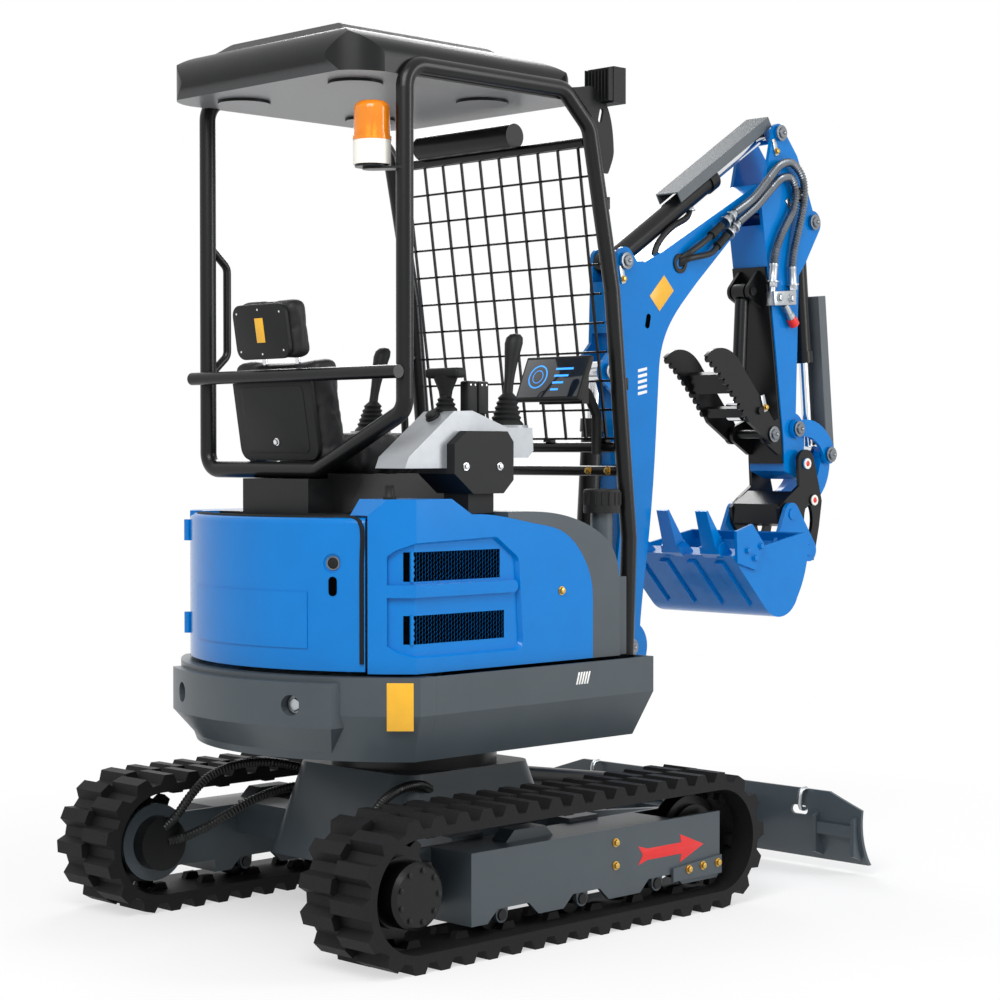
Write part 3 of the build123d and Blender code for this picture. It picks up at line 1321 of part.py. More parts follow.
def coupler():
    """Quick coupler: two cheeks on the arm's tip with a block that holds the bucket's pins."""
    with BuildSketch() as shape:
        with BuildLine():
            Line((1560, 1215), (1566, 1130))
            Line((1566, 1130), (1500, 1090))
            Line((1500, 1090), (1462, 1060))
            Line((1462, 1060), (1470, 1010))
            Line((1470, 1010), (1560, 900))
            Line((1560, 900), (1640, 890))
            Line((1640, 890), (1668, 1000))
            Line((1668, 1000), (1682, 1080))
            Line((1682, 1080), (1640, 1215))
            ThreePointArc((1640, 1215), (1600, 1245), (1560, 1215))
        make_face()
        with Locations((1612, 1020)):
            Ellipse(22, 50, rotation=0, mode=Mode.SUBTRACT)
    pieces = []
    for side in (-1, 1):
        edges = sorted((side * COUPLER_IN, side * (COUPLER_IN + PLATE)))
        plate = prism(shape.sketch, edges[0], edges[1])
        pieces.append(without(plate, pin(ARM_TIP, PIN + FIT, edges[0] - 1, edges[1] + 1)))
        pieces.append(pin(LINK_PIN, PIN, min(side * (COUPLER_IN - 14), side * (COUPLER_IN + PLATE + 4)),
                          max(side * (COUPLER_IN - 14), side * (COUPLER_IN + PLATE + 4))))
    block = slab([(1470, 1072), (1540, 1112), (1560, 1060), (1530, 1000), (1470, 1010)], -COUPLER_IN, COUPLER_IN)
    jaw = slab([(1548, 960), (1560, 900), (1640, 890), (1650, 940), (1600, 955)], -COUPLER_IN, COUPLER_IN)
    holes = [pin(BUCKET_PIN_A, PIN + FIT, -200, 200), pin(BUCKET_PIN_B, PIN + FIT, -200, 200)]
    return without(union(block, jaw, *pieces), *holes)


def bucket_shape(inset):
    """Side view of the bucket: flat floor, round heel and back, open mouth."""
    slant = inset * 0.7
    with BuildSketch() as shape:
        with BuildLine():
            lip = (1075 + inset, 926)
            heel = (1236 + slant, 762 + slant)
            back = (1446 - inset, 958)
            Line(lip, heel)
            ThreePointArc(heel, (1322, 734 + inset), (1392 - slant, 790 + slant))
            ThreePointArc((1392 - slant, 790 + slant), (1430 - inset, 866), back)
            Line(back, (1430 - inset, 988))
            Line((1430 - inset, 988), lip)
        make_face()
    return shape.sketch


def tooth(y):
    """Adapter on the lip with a point that narrows to its edge."""
    root = (1082, 942)
    tip = (1018, 1058)
    with BuildPart() as point:
        with BuildSketch(axis_plane(root, tip, 0)):
            with Locations((y, 0)):
                Rectangle(56, 44)
        with BuildSketch(axis_plane(root, tip, math.hypot(tip[0] - root[0], tip[1] - root[1]))):
            with Locations((y, -6)):
                Rectangle(44, 8)
        loft()
    return union(point.part, slab([(1062, 930), (1104, 906), (1124, 936), (1084, 966), (1058, 950)], y - 37, y + 37))


def bucket():
    """Digging bucket with side plates, lip, teeth, wear strips, side cutters and pin ears."""
    half = BUCKET_HALF
    shell = prism(bucket_shape(0), -half, half)
    room = prism(bucket_shape(9), -half + 10, half - 10)
    opening = slab([(1086, 928), (1086, 1200), (1424, 1200), (1424, 984)], -half + 10, half - 10)
    body = without(shell, room, opening)
    strips = []
    for y in (-165, -55, 55, 165):
        strips.append(slab([(1094, 907), (1228, 771), (1222, 764), (1088, 900)], y - 15, y + 15))
    cutters = []
    for side in (-1, 1):
        edges = sorted((side * half, side * (half + 10)))
        cutters.append(slab([(1090, 905), (1180, 880), (1215, 960), (1160, 1020), (1085, 1000)], edges[0], edges[1]))
    ear = link_shape([(BUCKET_PIN_A[0], BUCKET_PIN_A[1], 36), (BUCKET_PIN_B[0], BUCKET_PIN_B[1], 36), (1440, 930, 24)])
    ears = []
    for side in (-1, 1):
        edges = sorted((side * EAR_IN, side * (EAR_IN + 14)))
        ears.append(prism(ear, edges[0], edges[1]))
    rods = [pin(BUCKET_PIN_A, PIN, -EAR_IN - 18, EAR_IN + 18), pin(BUCKET_PIN_B, PIN, -EAR_IN - 18, EAR_IN + 18)]
    return union(body, *[tooth(y) for y in TOOTH_Y], *strips, *cutters, *ears, *rods)


# Every piece is built once and saved under its own name.

loop = track()
for side, word in ((1, "left"), (-1, "right")):
    save(on_side(loop, side), "track_" + word)
    save(on_side(side_frame(), side), "track_frame_" + word)
    save(union(*[on_side(piece, side) for piece in rollers()], on_side(idler(), side)), "track_wheels_" + word)
    save(on_side(drive(), side), "track_drive_" + word)
save(carbody(), "carbody")
save(slew_ring(), "slew_ring")
save(blade(), "blade")
save(barrel(BLADE_CYL_BASE, BLADE_CYL_EYE, 560, 30, 16, 26), "blade_barrel")
save(rod(BLADE_CYL_BASE, BLADE_CYL_EYE, 400, 16, 26), "blade_rod")
save(house_frame(), "house_frame")
save(counterweight(), "counterweight")
save(hood(), "hood")
save(right_cover(), "right_cover")
save(left_cover(), "left_cover")
save(pillar(), "front_pillar")
save(fuel_cap(), "fuel_cap")
save(deck(), "deck")
save(engine(), "engine")
save(seat_base(), "seat_base")
save(seat(), "seat")
save(union(*consoles()), "consoles")
save(console_lid(), "console_lid")
save(union(*joysticks()), "joysticks")
save(monitor(), "monitor")
save(union(rops_side(1), *grab_handles()), "canopy_side_left")
save(rops_side(-1), "canopy_side_right")
save(union(rops_rear(), *rops_front()), "canopy_bars")
save(roof(), "roof")
save(mesh_guard(), "mesh_guard")
save(beacon(), "beacon")
save(beacon_base(), "beacon_base")
save(beacon_bracket(), "beacon_bracket")
save(work_light(), "work_light")
save(swing_post(), "swing_post")
save(boom(), "boom")
save(barrel(BOOM_CYL_BASE, BOOM_CYL_EYE, 560, 32, 18, 36), "boom_barrel")
save(rod(BOOM_CYL_BASE, BOOM_CYL_EYE, 390, 18, 36), "boom_rod")
save(barrel(ARM_CYL_BASE, ARM_CYL_EYE, 540, 32, 18, 38), "arm_barrel")
save(rod(ARM_CYL_BASE, ARM_CYL_EYE, 420, 18, 38), "arm_rod")
save(channel(ARM_CYL_BASE, ARM_CYL_EYE, 330, 52, 44, 30), "arm_rod_guard")
save(arm(), "arm")
save(thumb_base(), "thumb_base")
save(barrel(BUCKET_CYL_BASE, ROCKER_END, 450, 28, 16, 34), "bucket_barrel")
save(rod(BUCKET_CYL_BASE, ROCKER_END, 400, 16, 30), "bucket_rod")
save(channel(BUCKET_CYL_BASE, ROCKER_END, 238, 84, 37, 34), "bucket_rod_guard")
save(union(*rocker()), "rocker")
save(bucket_link(), "bucket_link")
save(coupler(), "coupler")
save(bucket(), "bucket")
save(thumb(), "thumb")
save(barrel(THUMB_CYL_BASE, THUMB_CYL_EYE, 290, 22, 12, 24, PIN - 4, 12), "thumb_barrel")
save(rod(THUMB_CYL_BASE, THUMB_CYL_EYE, 130, 12, 26), "thumb_rod")
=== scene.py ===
# Dressed mini excavator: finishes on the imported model, plus the small pieces that the solids leave out.
# Metres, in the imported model's own frame: X forward, Y to the operator's left, Z up.
import json
import math
import bmesh
import bpy
from mathutils import Matrix, Vector
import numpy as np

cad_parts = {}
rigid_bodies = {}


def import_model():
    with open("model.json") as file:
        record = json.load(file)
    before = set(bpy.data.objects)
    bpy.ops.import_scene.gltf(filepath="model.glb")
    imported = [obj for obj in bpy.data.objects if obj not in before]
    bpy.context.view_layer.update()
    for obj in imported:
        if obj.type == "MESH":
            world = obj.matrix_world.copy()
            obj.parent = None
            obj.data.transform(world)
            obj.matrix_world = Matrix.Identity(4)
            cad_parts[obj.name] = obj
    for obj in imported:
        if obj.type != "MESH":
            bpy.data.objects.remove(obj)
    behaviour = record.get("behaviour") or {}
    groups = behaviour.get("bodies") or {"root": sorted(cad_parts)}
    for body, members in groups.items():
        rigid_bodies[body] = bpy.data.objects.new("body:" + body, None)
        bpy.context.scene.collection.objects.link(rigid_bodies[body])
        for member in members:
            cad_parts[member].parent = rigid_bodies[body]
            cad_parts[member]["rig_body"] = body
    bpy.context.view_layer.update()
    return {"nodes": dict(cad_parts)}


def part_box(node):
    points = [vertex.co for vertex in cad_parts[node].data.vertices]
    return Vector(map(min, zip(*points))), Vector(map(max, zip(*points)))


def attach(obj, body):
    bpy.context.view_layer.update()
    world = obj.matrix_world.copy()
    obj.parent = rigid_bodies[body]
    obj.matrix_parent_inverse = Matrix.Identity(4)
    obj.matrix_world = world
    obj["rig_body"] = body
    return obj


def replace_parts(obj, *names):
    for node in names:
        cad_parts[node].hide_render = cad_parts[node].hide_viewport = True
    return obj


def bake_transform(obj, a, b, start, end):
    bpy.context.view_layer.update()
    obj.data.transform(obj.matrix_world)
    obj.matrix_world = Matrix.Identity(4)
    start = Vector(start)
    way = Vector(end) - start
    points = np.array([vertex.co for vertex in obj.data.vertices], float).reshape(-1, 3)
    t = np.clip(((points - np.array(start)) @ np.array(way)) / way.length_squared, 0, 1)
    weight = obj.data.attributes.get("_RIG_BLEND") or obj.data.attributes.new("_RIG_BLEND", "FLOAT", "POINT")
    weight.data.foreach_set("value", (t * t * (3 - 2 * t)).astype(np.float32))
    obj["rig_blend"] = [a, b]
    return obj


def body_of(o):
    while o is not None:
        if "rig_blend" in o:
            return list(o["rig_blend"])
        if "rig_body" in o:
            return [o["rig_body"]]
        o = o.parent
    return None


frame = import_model()
nodes = frame["nodes"]

# The slewing axis, from which the photograph was measured
ring_low, ring_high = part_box("slew_ring")
SLEW_X = (ring_low[0] + ring_high[0]) / 2


def spot(x, y, z):
    """A point measured in millimetres from the slewing axis, in the model's metres."""
    return Vector((SLEW_X + x / 1000, y / 1000, z / 1000))


SIDES = ((-1, "right"), (1, "left"))

# Finishes

def linear(code):
    """An sRGB hex colour as the linear RGBA that shaders take."""
    parts = [int(code[i:i + 2], 16) / 255 for i in (1, 3, 5)]
    return [c / 12.92 if c <= 0.04045 else ((c + 0.055) / 1.055) ** 2.4 for c in parts] + [1.0]


def per_mm(size):
    """The texture scale at which one cell of a pattern is so many millimetres wide."""
    return 1000.0 / size


def node(tree, kind, settings=None, **links):
    """Add a node, set its sockets and properties, and link its inputs from (node, output) pairs."""
    made = tree.nodes.new(kind)
    for key, value in (settings or {}).items():
        if isinstance(key, int) or key in made.inputs:
            made.inputs[key].default_value = value
        else:
            setattr(made, key, value)
    for key, (source, output) in links.items():
        tree.links.new(source.outputs[output], made.inputs[key.replace("_", " ")])
    return made


def finish_base(name, **sockets):
    """A new material with its shader's plain sockets set."""
    made = bpy.data.materials.new(name)
    made.use_nodes = True
    shader = made.node_tree.nodes["Principled BSDF"]
    for key, value in sockets.items():
        shader.inputs[key.replace("_", " ")].default_value = value
    return made, made.node_tree, shader


def mottled(tree, shader, light, dark, patch_mm, grain_mm, depth_mm, rough):
    """Colour that drifts between two tones, with a fine surface grain in the bump and in the gloss."""
    place = node(tree, "ShaderNodeTexCoord")
    patch = node(tree, "ShaderNodeTexNoise", {"Scale": per_mm(patch_mm), "Detail": 4.0}, Vector=(place, "Object"))
    tone = node(tree, "ShaderNodeMix", {"data_type": "RGBA", 6: linear(dark), 7: linear(light)},
                Factor=(patch, "Fac"))
    grain = node(tree, "ShaderNodeTexNoise", {"Scale": per_mm(grain_mm), "Detail": 2.0}, Vector=(place, "Object"))
    gloss = node(tree, "ShaderNodeMapRange", {"To Min": rough[0], "To Max": rough[1]}, Value=(grain, "Fac"))
    bump = node(tree, "ShaderNodeBump", {"Strength": 0.25, "Distance": depth_mm / 1000}, Height=(grain, "Fac"))
    tree.links.new(tone.outputs[2], shader.inputs["Base Color"])
    tree.links.new(gloss.outputs["Result"], shader.inputs["Roughness"])
    tree.links.new(bump.outputs["Normal"], shader.inputs["Normal"])
    return place, tone, bump


def blue_enamel():
    """Two-pack enamel sprayed on steel: even colour, a faint orange peel and a glossy coat."""
    made, tree, shader = finish_base("blue_enamel", Coat_Weight=0.18, Coat_Roughness=0.06, IOR=1.45,
                                    Specular_IOR_Level=0.2)
    mottled(tree, shader, "#0079ca", "#0070be", 90, 5, 0.06, (0.15, 0.24))
    return made


def slate_enamel():
    """Satin slate-grey enamel of the lower body: a little dust in the tone and a matt gleam."""
    made, tree, shader = finish_base("slate_enamel", Coat_Weight=0.2, Coat_Roughness=0.2, IOR=1.5,
                                    Specular_IOR_Level=0.35)
    mottled(tree, shader, "#454e54", "#3a4349", 120, 4, 0.15, (0.36, 0.5))
    return made


def black_powder_coat():
    """Black powder coat on tube and plate: fine pebble that scatters the highlights."""
    made, tree, shader = finish_base("black_powder_coat", IOR=1.5, Specular_IOR_Level=0.28)
    mottled(tree, shader, "#121314", "#0a0b0c", 60, 3, 0.12, (0.24, 0.36))
    return made


def moulded_black():
    """Moulded polypropylene: charcoal with a spark-eroded grain, no gloss coat."""
    made, tree, shader = finish_base("moulded_black", IOR=1.49, Specular_IOR_Level=0.28)
    mottled(tree, shader, "#161718", "#0f1011", 70, 2.5, 0.35, (0.48, 0.62))
    return made


def roof_abs():
    """Vacuum-formed ABS roof: charcoal with a satin gleam on top, and mid-grey painted light on the faces that look
    down, standing in for light thrown up from the pale floor.
    """
    made, tree, shader = finish_base("roof_abs", IOR=1.53, Specular_IOR_Level=0.2)
    place, tone, bump = mottled(tree, shader, "#18191a", "#101112", 90, 3, 0.2, (0.28, 0.4))
    # Painted light: faces that look down are mixed towards mid-grey, for the light the pale floor throws up under
    # the roof.
    split = node(tree, "ShaderNodeSeparateXYZ", Vector=(place, "Normal"))
    painted_underside_mask = node(tree, "ShaderNodeMapRange", {"From Min": -0.3, "From Max": -0.8}, Value=(split, "Z"))
    painted_underside_light = node(tree, "ShaderNodeMix", {"data_type": "RGBA", 7: linear("#77787a")}, Factor=(painted_underside_mask, "Result"))
    tree.links.new(tone.outputs[2], painted_underside_light.inputs[6])
    tree.links.new(painted_underside_light.outputs[2], shader.inputs["Base Color"])
    return made


def lit_display():
    """Lines of a switched-on display: they glow a little."""
    made, tree, shader = finish_base("lit_display", Emission_Color=linear("#3aa0ff"), Emission_Strength=0.8)
    mottled(tree, shader, "#3aa0ff", "#2f8ee6", 20, 8, 0.01, (0.2, 0.3))
    return made


def track_rubber():
    """Cured rubber with a bloom on it: near black, greyer in patches, rough."""
    made, tree, shader = finish_base("track_rubber", IOR=1.52, Specular_IOR_Level=0.22)
    mottled(tree, shader, "#131314", "#0a0a0b", 45, 6, 0.5, (0.55, 0.75))
    return made


def machined_steel():
    """Turned and oiled steel: grey metal with fine tool marks."""
    made, tree, shader = finish_base("machined_steel", Metallic=1.0)
    mottled(tree, shader, "#8d9196", "#6f7479", 40, 2, 0.08, (0.28, 0.42))
    return made


def chromed_rod():
    """Hard chrome on a ground rod: bright, with hardly any grain."""
    made, tree, shader = finish_base("chromed_rod", Metallic=1.0)
    mottled(tree, shader, "#e6e8ea", "#d6d9dc", 50, 2, 0.02, (0.06, 0.12))
    return made


def zinc_yellow():
    """Yellow-passivated zinc on fasteners: brassy with a pale bloom."""
    made, tree, shader = finish_base("zinc_yellow", Metallic=1.0)
    mottled(tree, shader, "#d9b765", "#b8924a", 6, 1, 0.05, (0.25, 0.4))
    return made


def bright_zinc():
    """Clear-passivated zinc on fittings and guards: light silver."""
    made, tree, shader = finish_base("bright_zinc", Metallic=1.0)
    mottled(tree, shader, "#c3c7ca", "#a3a8ac", 9, 1, 0.05, (0.25, 0.42))
    return made


def silver_panel():
    """Silver metallic lacquer on the console's moulded lid."""
    made, tree, shader = finish_base("silver_panel", Metallic=0.35, IOR=1.5, Coat_Weight=0.2)
    mottled(tree, shader, "#a4a8ac", "#969a9f", 30, 1.5, 0.05, (0.3, 0.42))
    return made


def guard_grey():
    """Dark grey satin paint on the pressed rod guards."""
    made, tree, shader = finish_base("guard_grey", IOR=1.5)
    mottled(tree, shader, "#565d62", "#4c5358", 60, 4, 0.008, (0.4, 0.5))
    return made


def seat_vinyl():
    """Grained black vinyl: leather-like cells a few millimetres across with a soft sheen."""
    made, tree, shader = finish_base("seat_vinyl", IOR=1.5, Sheen_Weight=0.05, Specular_IOR_Level=0.3)
    place, tone, bump = mottled(tree, shader, "#1c1c1e", "#131315", 80, 4, 0.3, (0.45, 0.6))
    cells = node(tree, "ShaderNodeTexVoronoi", {"feature": "DISTANCE_TO_EDGE", "Scale": per_mm(3.5)},
                 Vector=(place, "Object"))
    hide = node(tree, "ShaderNodeBump", {"Strength": 0.35, "Distance": 0.0004}, Height=(cells, "Distance"),
                Normal=(bump, "Normal"))
    tree.links.new(hide.outputs["Normal"], shader.inputs["Normal"])
    return made


def amber_lens():
    """Translucent amber acrylic: light passes and picks up orange."""
    made, tree, shader = finish_base("amber_lens", Transmission_Weight=0.35, IOR=1.49)
    mottled(tree, shader, "#ff9d1e", "#f2860c", 40, 3, 0.05, (0.12, 0.2))
    return made


def off_white_abs():
    """Off-white ABS of the lamp's foot: smooth moulding."""
    made, tree, shader = finish_base("off_white_abs", IOR=1.53)
    mottled(tree, shader, "#efece4", "#e3e0d8", 40, 2, 0.05, (0.35, 0.45))
    return made


def printed_film(name, code):
    """Printed vinyl film: one even colour with the gloss of laminate."""
    made, tree, shader = finish_base(name, IOR=1.5)
    dark = "#" + "".join("%02x" % int(int(code[i:i + 2], 16) * 0.94) for i in (1, 3, 5))
    mottled(tree, shader, code, dark, 30, 4, 0.03, (0.3, 0.4))
    return made


def screen_glass():
    """Tinted glass over the display: almost black, mirror smooth."""
    made, tree, shader = finish_base("screen_glass", IOR=1.52, Coat_Weight=0.6, Coat_Roughness=0.03)
    mottled(tree, shader, "#16202c", "#0c1218", 60, 20, 0.01, (0.05, 0.09))
    return made


def painted_shade_sheet():
    """Painted shade: a near-black sheet behind the perforated sheets and in the slots, standing in for the shade in
    those openings; it gives back hardly any light.
    """
    made, tree, shader = finish_base("painted_shade_sheet", IOR=1.45, Specular_IOR_Level=0.0)
    mottled(tree, shader, "#070708", "#030303", 12, 3, 0.3, (0.9, 1.0))
    return made


def hose_rubber():
    """Hydraulic hose: black rubber with the print of its wrapping cloth, a little shiny."""
    made, tree, shader = finish_base("hose_rubber", IOR=1.52, Specular_IOR_Level=0.3)
    mottled(tree, shader, "#161718", "#0d0e0f", 25, 3, 0.25, (0.38, 0.5))
    return made


def clear_lens():
    """Clear polycarbonate over the lamp: almost white, smooth, with light inside it."""
    made, tree, shader = finish_base("clear_lens", IOR=1.58, Transmission_Weight=0.5)
    mottled(tree, shader, "#eef3f6", "#dfe6ea", 20, 8, 0.2, (0.05, 0.1))
    return made


def direct_rays(tree):
    """A value of one for what the camera sees, straight, in a mirror or through glass, and zero for stray light."""
    path = node(tree, "ShaderNodeLightPath")
    seen = node(tree, "ShaderNodeMath", {"operation": "MAXIMUM"})
    tree.links.new(path.outputs["Is Camera Ray"], seen.inputs[0])
    tree.links.new(path.outputs["Is Glossy Ray"], seen.inputs[1])
    clear = node(tree, "ShaderNodeMath", {"operation": "MAXIMUM"})
    tree.links.new(seen.outputs[0], clear.inputs[0])
    tree.links.new(path.outputs["Is Transmission Ray"], clear.inputs[1])
    return clear


def pale_floor():
    """Plain pale studio floor: it keeps the shadow near the machine and runs out to white further off."""
    made, tree, shader = finish_base("pale_floor", Roughness=0.9, Base_Color=linear("#f4f4f4"))
    glow = node(tree, "ShaderNodeEmission", {"Color": linear("#ffffff"), "Strength": 1.0})
    place = node(tree, "ShaderNodeTexCoord")
    away = node(tree, "ShaderNodeVectorMath", {"operation": "LENGTH"})
    tree.links.new(place.outputs["Object"], away.inputs[0])
    fade = node(tree, "ShaderNodeMapRange", {"From Min": 1.0, "From Max": 2.6, "To Min": 0.55, "To Max": 1.0},
                Value=(away, "Value"))
    share = node(tree, "ShaderNodeMath", {"operation": "MULTIPLY"})
    tree.links.new(direct_rays(tree).outputs[0], share.inputs[0])
    tree.links.new(fade.outputs["Result"], share.inputs[1])
    mix = node(tree, "ShaderNodeMixShader")
    tree.links.new(share.outputs[0], mix.inputs[0])
    tree.links.new(shader.outputs[0], mix.inputs[1])
    tree.links.new(glow.outputs[0], mix.inputs[2])
    tree.links.new(mix.outputs[0], tree.nodes["Material Output"].inputs["Surface"])
    return made


BLUE = blue_enamel()
SLATE = slate_enamel()
POWDER = black_powder_coat()
PLASTIC = moulded_black()
RUBBER = track_rubber()
STEEL = machined_steel()
CHROME = chromed_rod()
GOLD = zinc_yellow()
ZINC = bright_zinc()
SILVER = silver_panel()
GUARD = guard_grey()
VINYL = seat_vinyl()
AMBER = amber_lens()
OFF_WHITE = off_white_abs()
YELLOW_FILM = printed_film("yellow_film", "#f0b428")
WHITE_FILM = printed_film("white_film", "#f4f4f2")
RED_FILM = printed_film("red_film", "#e01e1e")
GLASS = screen_glass()
ROOF = roof_abs()
LIT = lit_display()
HOSE = hose_rubber()
PAINTED_SHADE = painted_shade_sheet()
LENS = clear_lens()

NODE_FINISH = {
    RUBBER: ("track_left", "track_right"),
    SLATE: ("track_frame_left", "track_frame_right", "carbody", "blade", "house_frame", "front_pillar",
            "counterweight"),
    POWDER: ("deck", "engine", "slew_ring", "seat_base", "canopy_side_left", "canopy_side_right", "canopy_bars",
             "mesh_guard", "thumb_base", "thumb", "coupler", "boom_barrel", "arm_barrel", "bucket_barrel",
             "thumb_barrel", "blade_barrel", "beacon_bracket", "track_drive_left", "track_drive_right",
             "track_wheels_left", "track_wheels_right"),
    BLUE: ("hood", "right_cover", "left_cover", "swing_post", "boom", "arm", "rocker", "bucket_link", "bucket"),
    CHROME: ("boom_rod", "arm_rod", "bucket_rod", "thumb_rod", "blade_rod"),
    GUARD: ("arm_rod_guard", "bucket_rod_guard"),
    VINYL: ("seat",),
    SILVER: ("console_lid",),
    ROOF: ("roof",),
    PLASTIC: ("joysticks", "monitor", "work_light", "consoles", "fuel_cap"),
    AMBER: ("beacon",),
    OFF_WHITE: ("beacon_base",),
}
for finish, names in NODE_FINISH.items():
    for name in names:
        nodes[name].data.materials.clear()
        nodes[name].data.materials.append(finish)

# Shapes, drawn at the origin in millimetres and then stood on the model

WELL_CLEAR = 900
CREASE = math.radians(34)
ROUTE_STEP = 0.012
RIB_STEP = 0.0045


def seated(place, axis, turn=0.0):
    """The matrix that stands a shape drawn in millimetres on a place, with its Z along an axis."""
    stand = Vector(axis).to_track_quat("Z", "Y").to_matrix().to_4x4()
    return Matrix.Translation(place) @ stand @ Matrix.Rotation(turn, 4, "Z") @ Matrix.Scale(0.001, 4)


def landing(name, start, toward):
    """Where a line from a point first meets one solid, and the outward normal there."""
    hit, place, normal, face = nodes[name].ray_cast(spot(*start), Vector(toward))
    if not hit:
        raise ValueError("nothing here to seat a piece on: " + name)
    return place, normal


def place_on(name, start, toward):
    """Where a line from a point first meets one solid."""
    return landing(name, start, toward)[0]


def side_landing(x, z, side):
    """Where a line from one side of the machine first meets any solid: the place and the body it is on."""
    bpy.context.view_layer.update()
    hit, place, normal, face, solid, matrix = bpy.context.scene.ray_cast(
        bpy.context.evaluated_depsgraph_get(), spot(x, side * WELL_CLEAR, z), Vector((0, -side, 0)))
    if not hit:
        raise ValueError("nothing at the side here")
    return place, body_of(solid)[0]


def spun(steps, sides, closed):
    """A profile of radius and height, open or closed, spun about Z."""
    shape = bmesh.new()
    rim = [shape.verts.new((radius, 0, height)) for radius, height in steps]
    run = [shape.edges.new(pair) for pair in zip(rim, rim[1:] + (rim[:1] if closed else []))]
    bmesh.ops.spin(shape, geom=rim + run, cent=(0, 0, 0), axis=(0, 0, 1), angle=2 * math.pi, steps=sides,
                   use_merge=True)
    return shape


def turned(steps, sides=20):
    """A turned shape about Z, from steps of radius and height that begin and end on the axis."""
    shape = spun(steps, sides, closed=False)
    bmesh.ops.remove_doubles(shape, verts=shape.verts, dist=0.01)
    return shape


def ring(inner, outer, high, sides=28):
    """A flat ring with broken edges."""
    edge = min(1.0, high / 4)
    return spun([(inner, 0), (outer, 0), (outer, high - edge), (outer - edge, high), (inner + edge, high),
                 (inner, high - edge)], sides, closed=True)


def slab(outline, thick, edge):
    """A plate from an outline, with rounded edges."""
    shape = bmesh.new()
    base = shape.faces.new([shape.verts.new((x, y, 0)) for x, y in outline])
    risen = bmesh.ops.extrude_face_region(shape, geom=[base])["geom"]
    bmesh.ops.translate(shape, vec=(0, 0, thick), verts=[v for v in risen if isinstance(v, bmesh.types.BMVert)])
    bmesh.ops.bevel(shape, geom=shape.edges[:], offset=edge, affect="EDGES", segments=2, profile=0.5, material=-1)
    return shape


def block(size, edge, segments=2):
    """A box on its base with rounded edges."""
    shape = bmesh.new()
    bmesh.ops.create_cube(shape, size=1.0)
    bmesh.ops.scale(shape, vec=size, verts=shape.verts)
    bmesh.ops.bevel(shape, geom=shape.edges[:], offset=edge, affect="EDGES", segments=segments, profile=0.5,
                    material=-1)
    bmesh.ops.translate(shape, vec=(0, 0, size[2] / 2), verts=shape.verts)
    return shape


def hex_bolt(across, high):
    """A bolt head on its washer: six flats with a chamfered crown."""
    washer_high = high * 0.22
    washer_out = across * 0.78
    chamfer = across * 0.1
    near_top = high * 0.9
    corner = across / math.sqrt(3)
    shape = turned([(0, 0), (washer_out, 0), (washer_out, washer_high), (0, washer_high)])
    head = bmesh.ops.create_cone(shape, cap_ends=True, segments=6, radius1=corner, radius2=corner, depth=high,
                                 matrix=Matrix.Translation((0, 0, high / 2)))["verts"]
    crown = {edge for vert in head if vert.co.z > near_top for edge in vert.link_edges
             if all(end.co.z > near_top for end in edge.verts)}
    bmesh.ops.bevel(shape, geom=list(crown), offset=chamfer, affect="EDGES", segments=2, profile=0.5, material=-1)
    return shape


def add(piece, shape, matrix):
    """Stand a shape on its place and take it into a piece."""
    bmesh.ops.transform(shape, matrix=matrix, verts=shape.verts)
    held = bpy.data.meshes.new("held")
    shape.to_mesh(held)
    shape.free()
    piece.from_mesh(held)
    bpy.data.meshes.remove(held)


def piece_of(piece, name, finish):
    """A finished mesh object: doubles merged, faces outward, smooth except over real edges."""
    bmesh.ops.remove_doubles(piece, verts=piece.verts, dist=1e-7)
    bmesh.ops.recalc_face_normals(piece, faces=piece.faces)
    data = bpy.data.meshes.new(name)
    piece.to_mesh(data)
    piece.free()
    data.materials.append(finish)
    data.shade_smooth()
    data.set_sharp_from_angle(angle=CREASE)
    made = bpy.data.objects.new(name, data)
    bpy.context.collection.objects.link(made)
    return made


def fitted(name, finish, body, *shapes):
    """One piece on one body, from shapes that each come with their matrix."""
    piece = bmesh.new()
    for shape, matrix in shapes:
        add(piece, shape, matrix)
    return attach(piece_of(piece, name, finish), body)


def smooth_route(points, step):
    """Even points on the smooth curve that passes through a few chosen ones."""
    ends = [points[0] * 2 - points[1]] + list(points) + [points[-1] * 2 - points[-2]]
    route = []
    for a, b, c, d in zip(ends, ends[1:], ends[2:], ends[3:]):
        count = max(2, round((c - b).length / step))
        for i in range(count):
            t = i / count
            route.append(0.5 * (2 * b + (c - a) * t + (2 * a - 5 * b + 4 * c - d) * t * t
                                + (3 * b - a - 3 * c + d) * t ** 3))
    return route + [points[-1].copy()]


def hose(name, finish, radius, points, rib=0.0):
    """A hose of a radius in millimetres along a route. A rib makes the turns of its spiral guard stand out."""
    route = smooth_route([spot(*point) for point in points], RIB_STEP if rib else ROUTE_STEP)
    curve = bpy.data.curves.new(name, "CURVE")
    curve.dimensions = "3D"
    curve.bevel_depth = radius / 1000
    curve.bevel_resolution = 3
    curve.use_fill_caps = True
    line = curve.splines.new("POLY")
    line.points.add(len(route) - 1)
    for i, point in enumerate(route):
        line.points[i].co = (*point, 1.0)
        line.points[i].radius = 1.0 - (rib if i % 2 else 0.0)
    drawn = bpy.data.objects.new(name + "_line", curve)
    data = bpy.data.meshes.new_from_object(drawn)
    bpy.data.objects.remove(drawn)
    bpy.data.curves.remove(curve)
    piece = bmesh.new()
    piece.from_mesh(data)
    bpy.data.meshes.remove(data)
    return piece_of(piece, name, finish)


# Seat: three stuffed pads

PAD_VOXEL = 0.006
PAD_START = 9
PAD_EDGE = 24
BLOW_PRESSURE = 4.0
BLOW_FRAMES = 20
SEAM_DEPTH = 5.5
SEAM_WIDTH = 7
SEAM_CORNER = 40
SEAT_MID_Y = 85


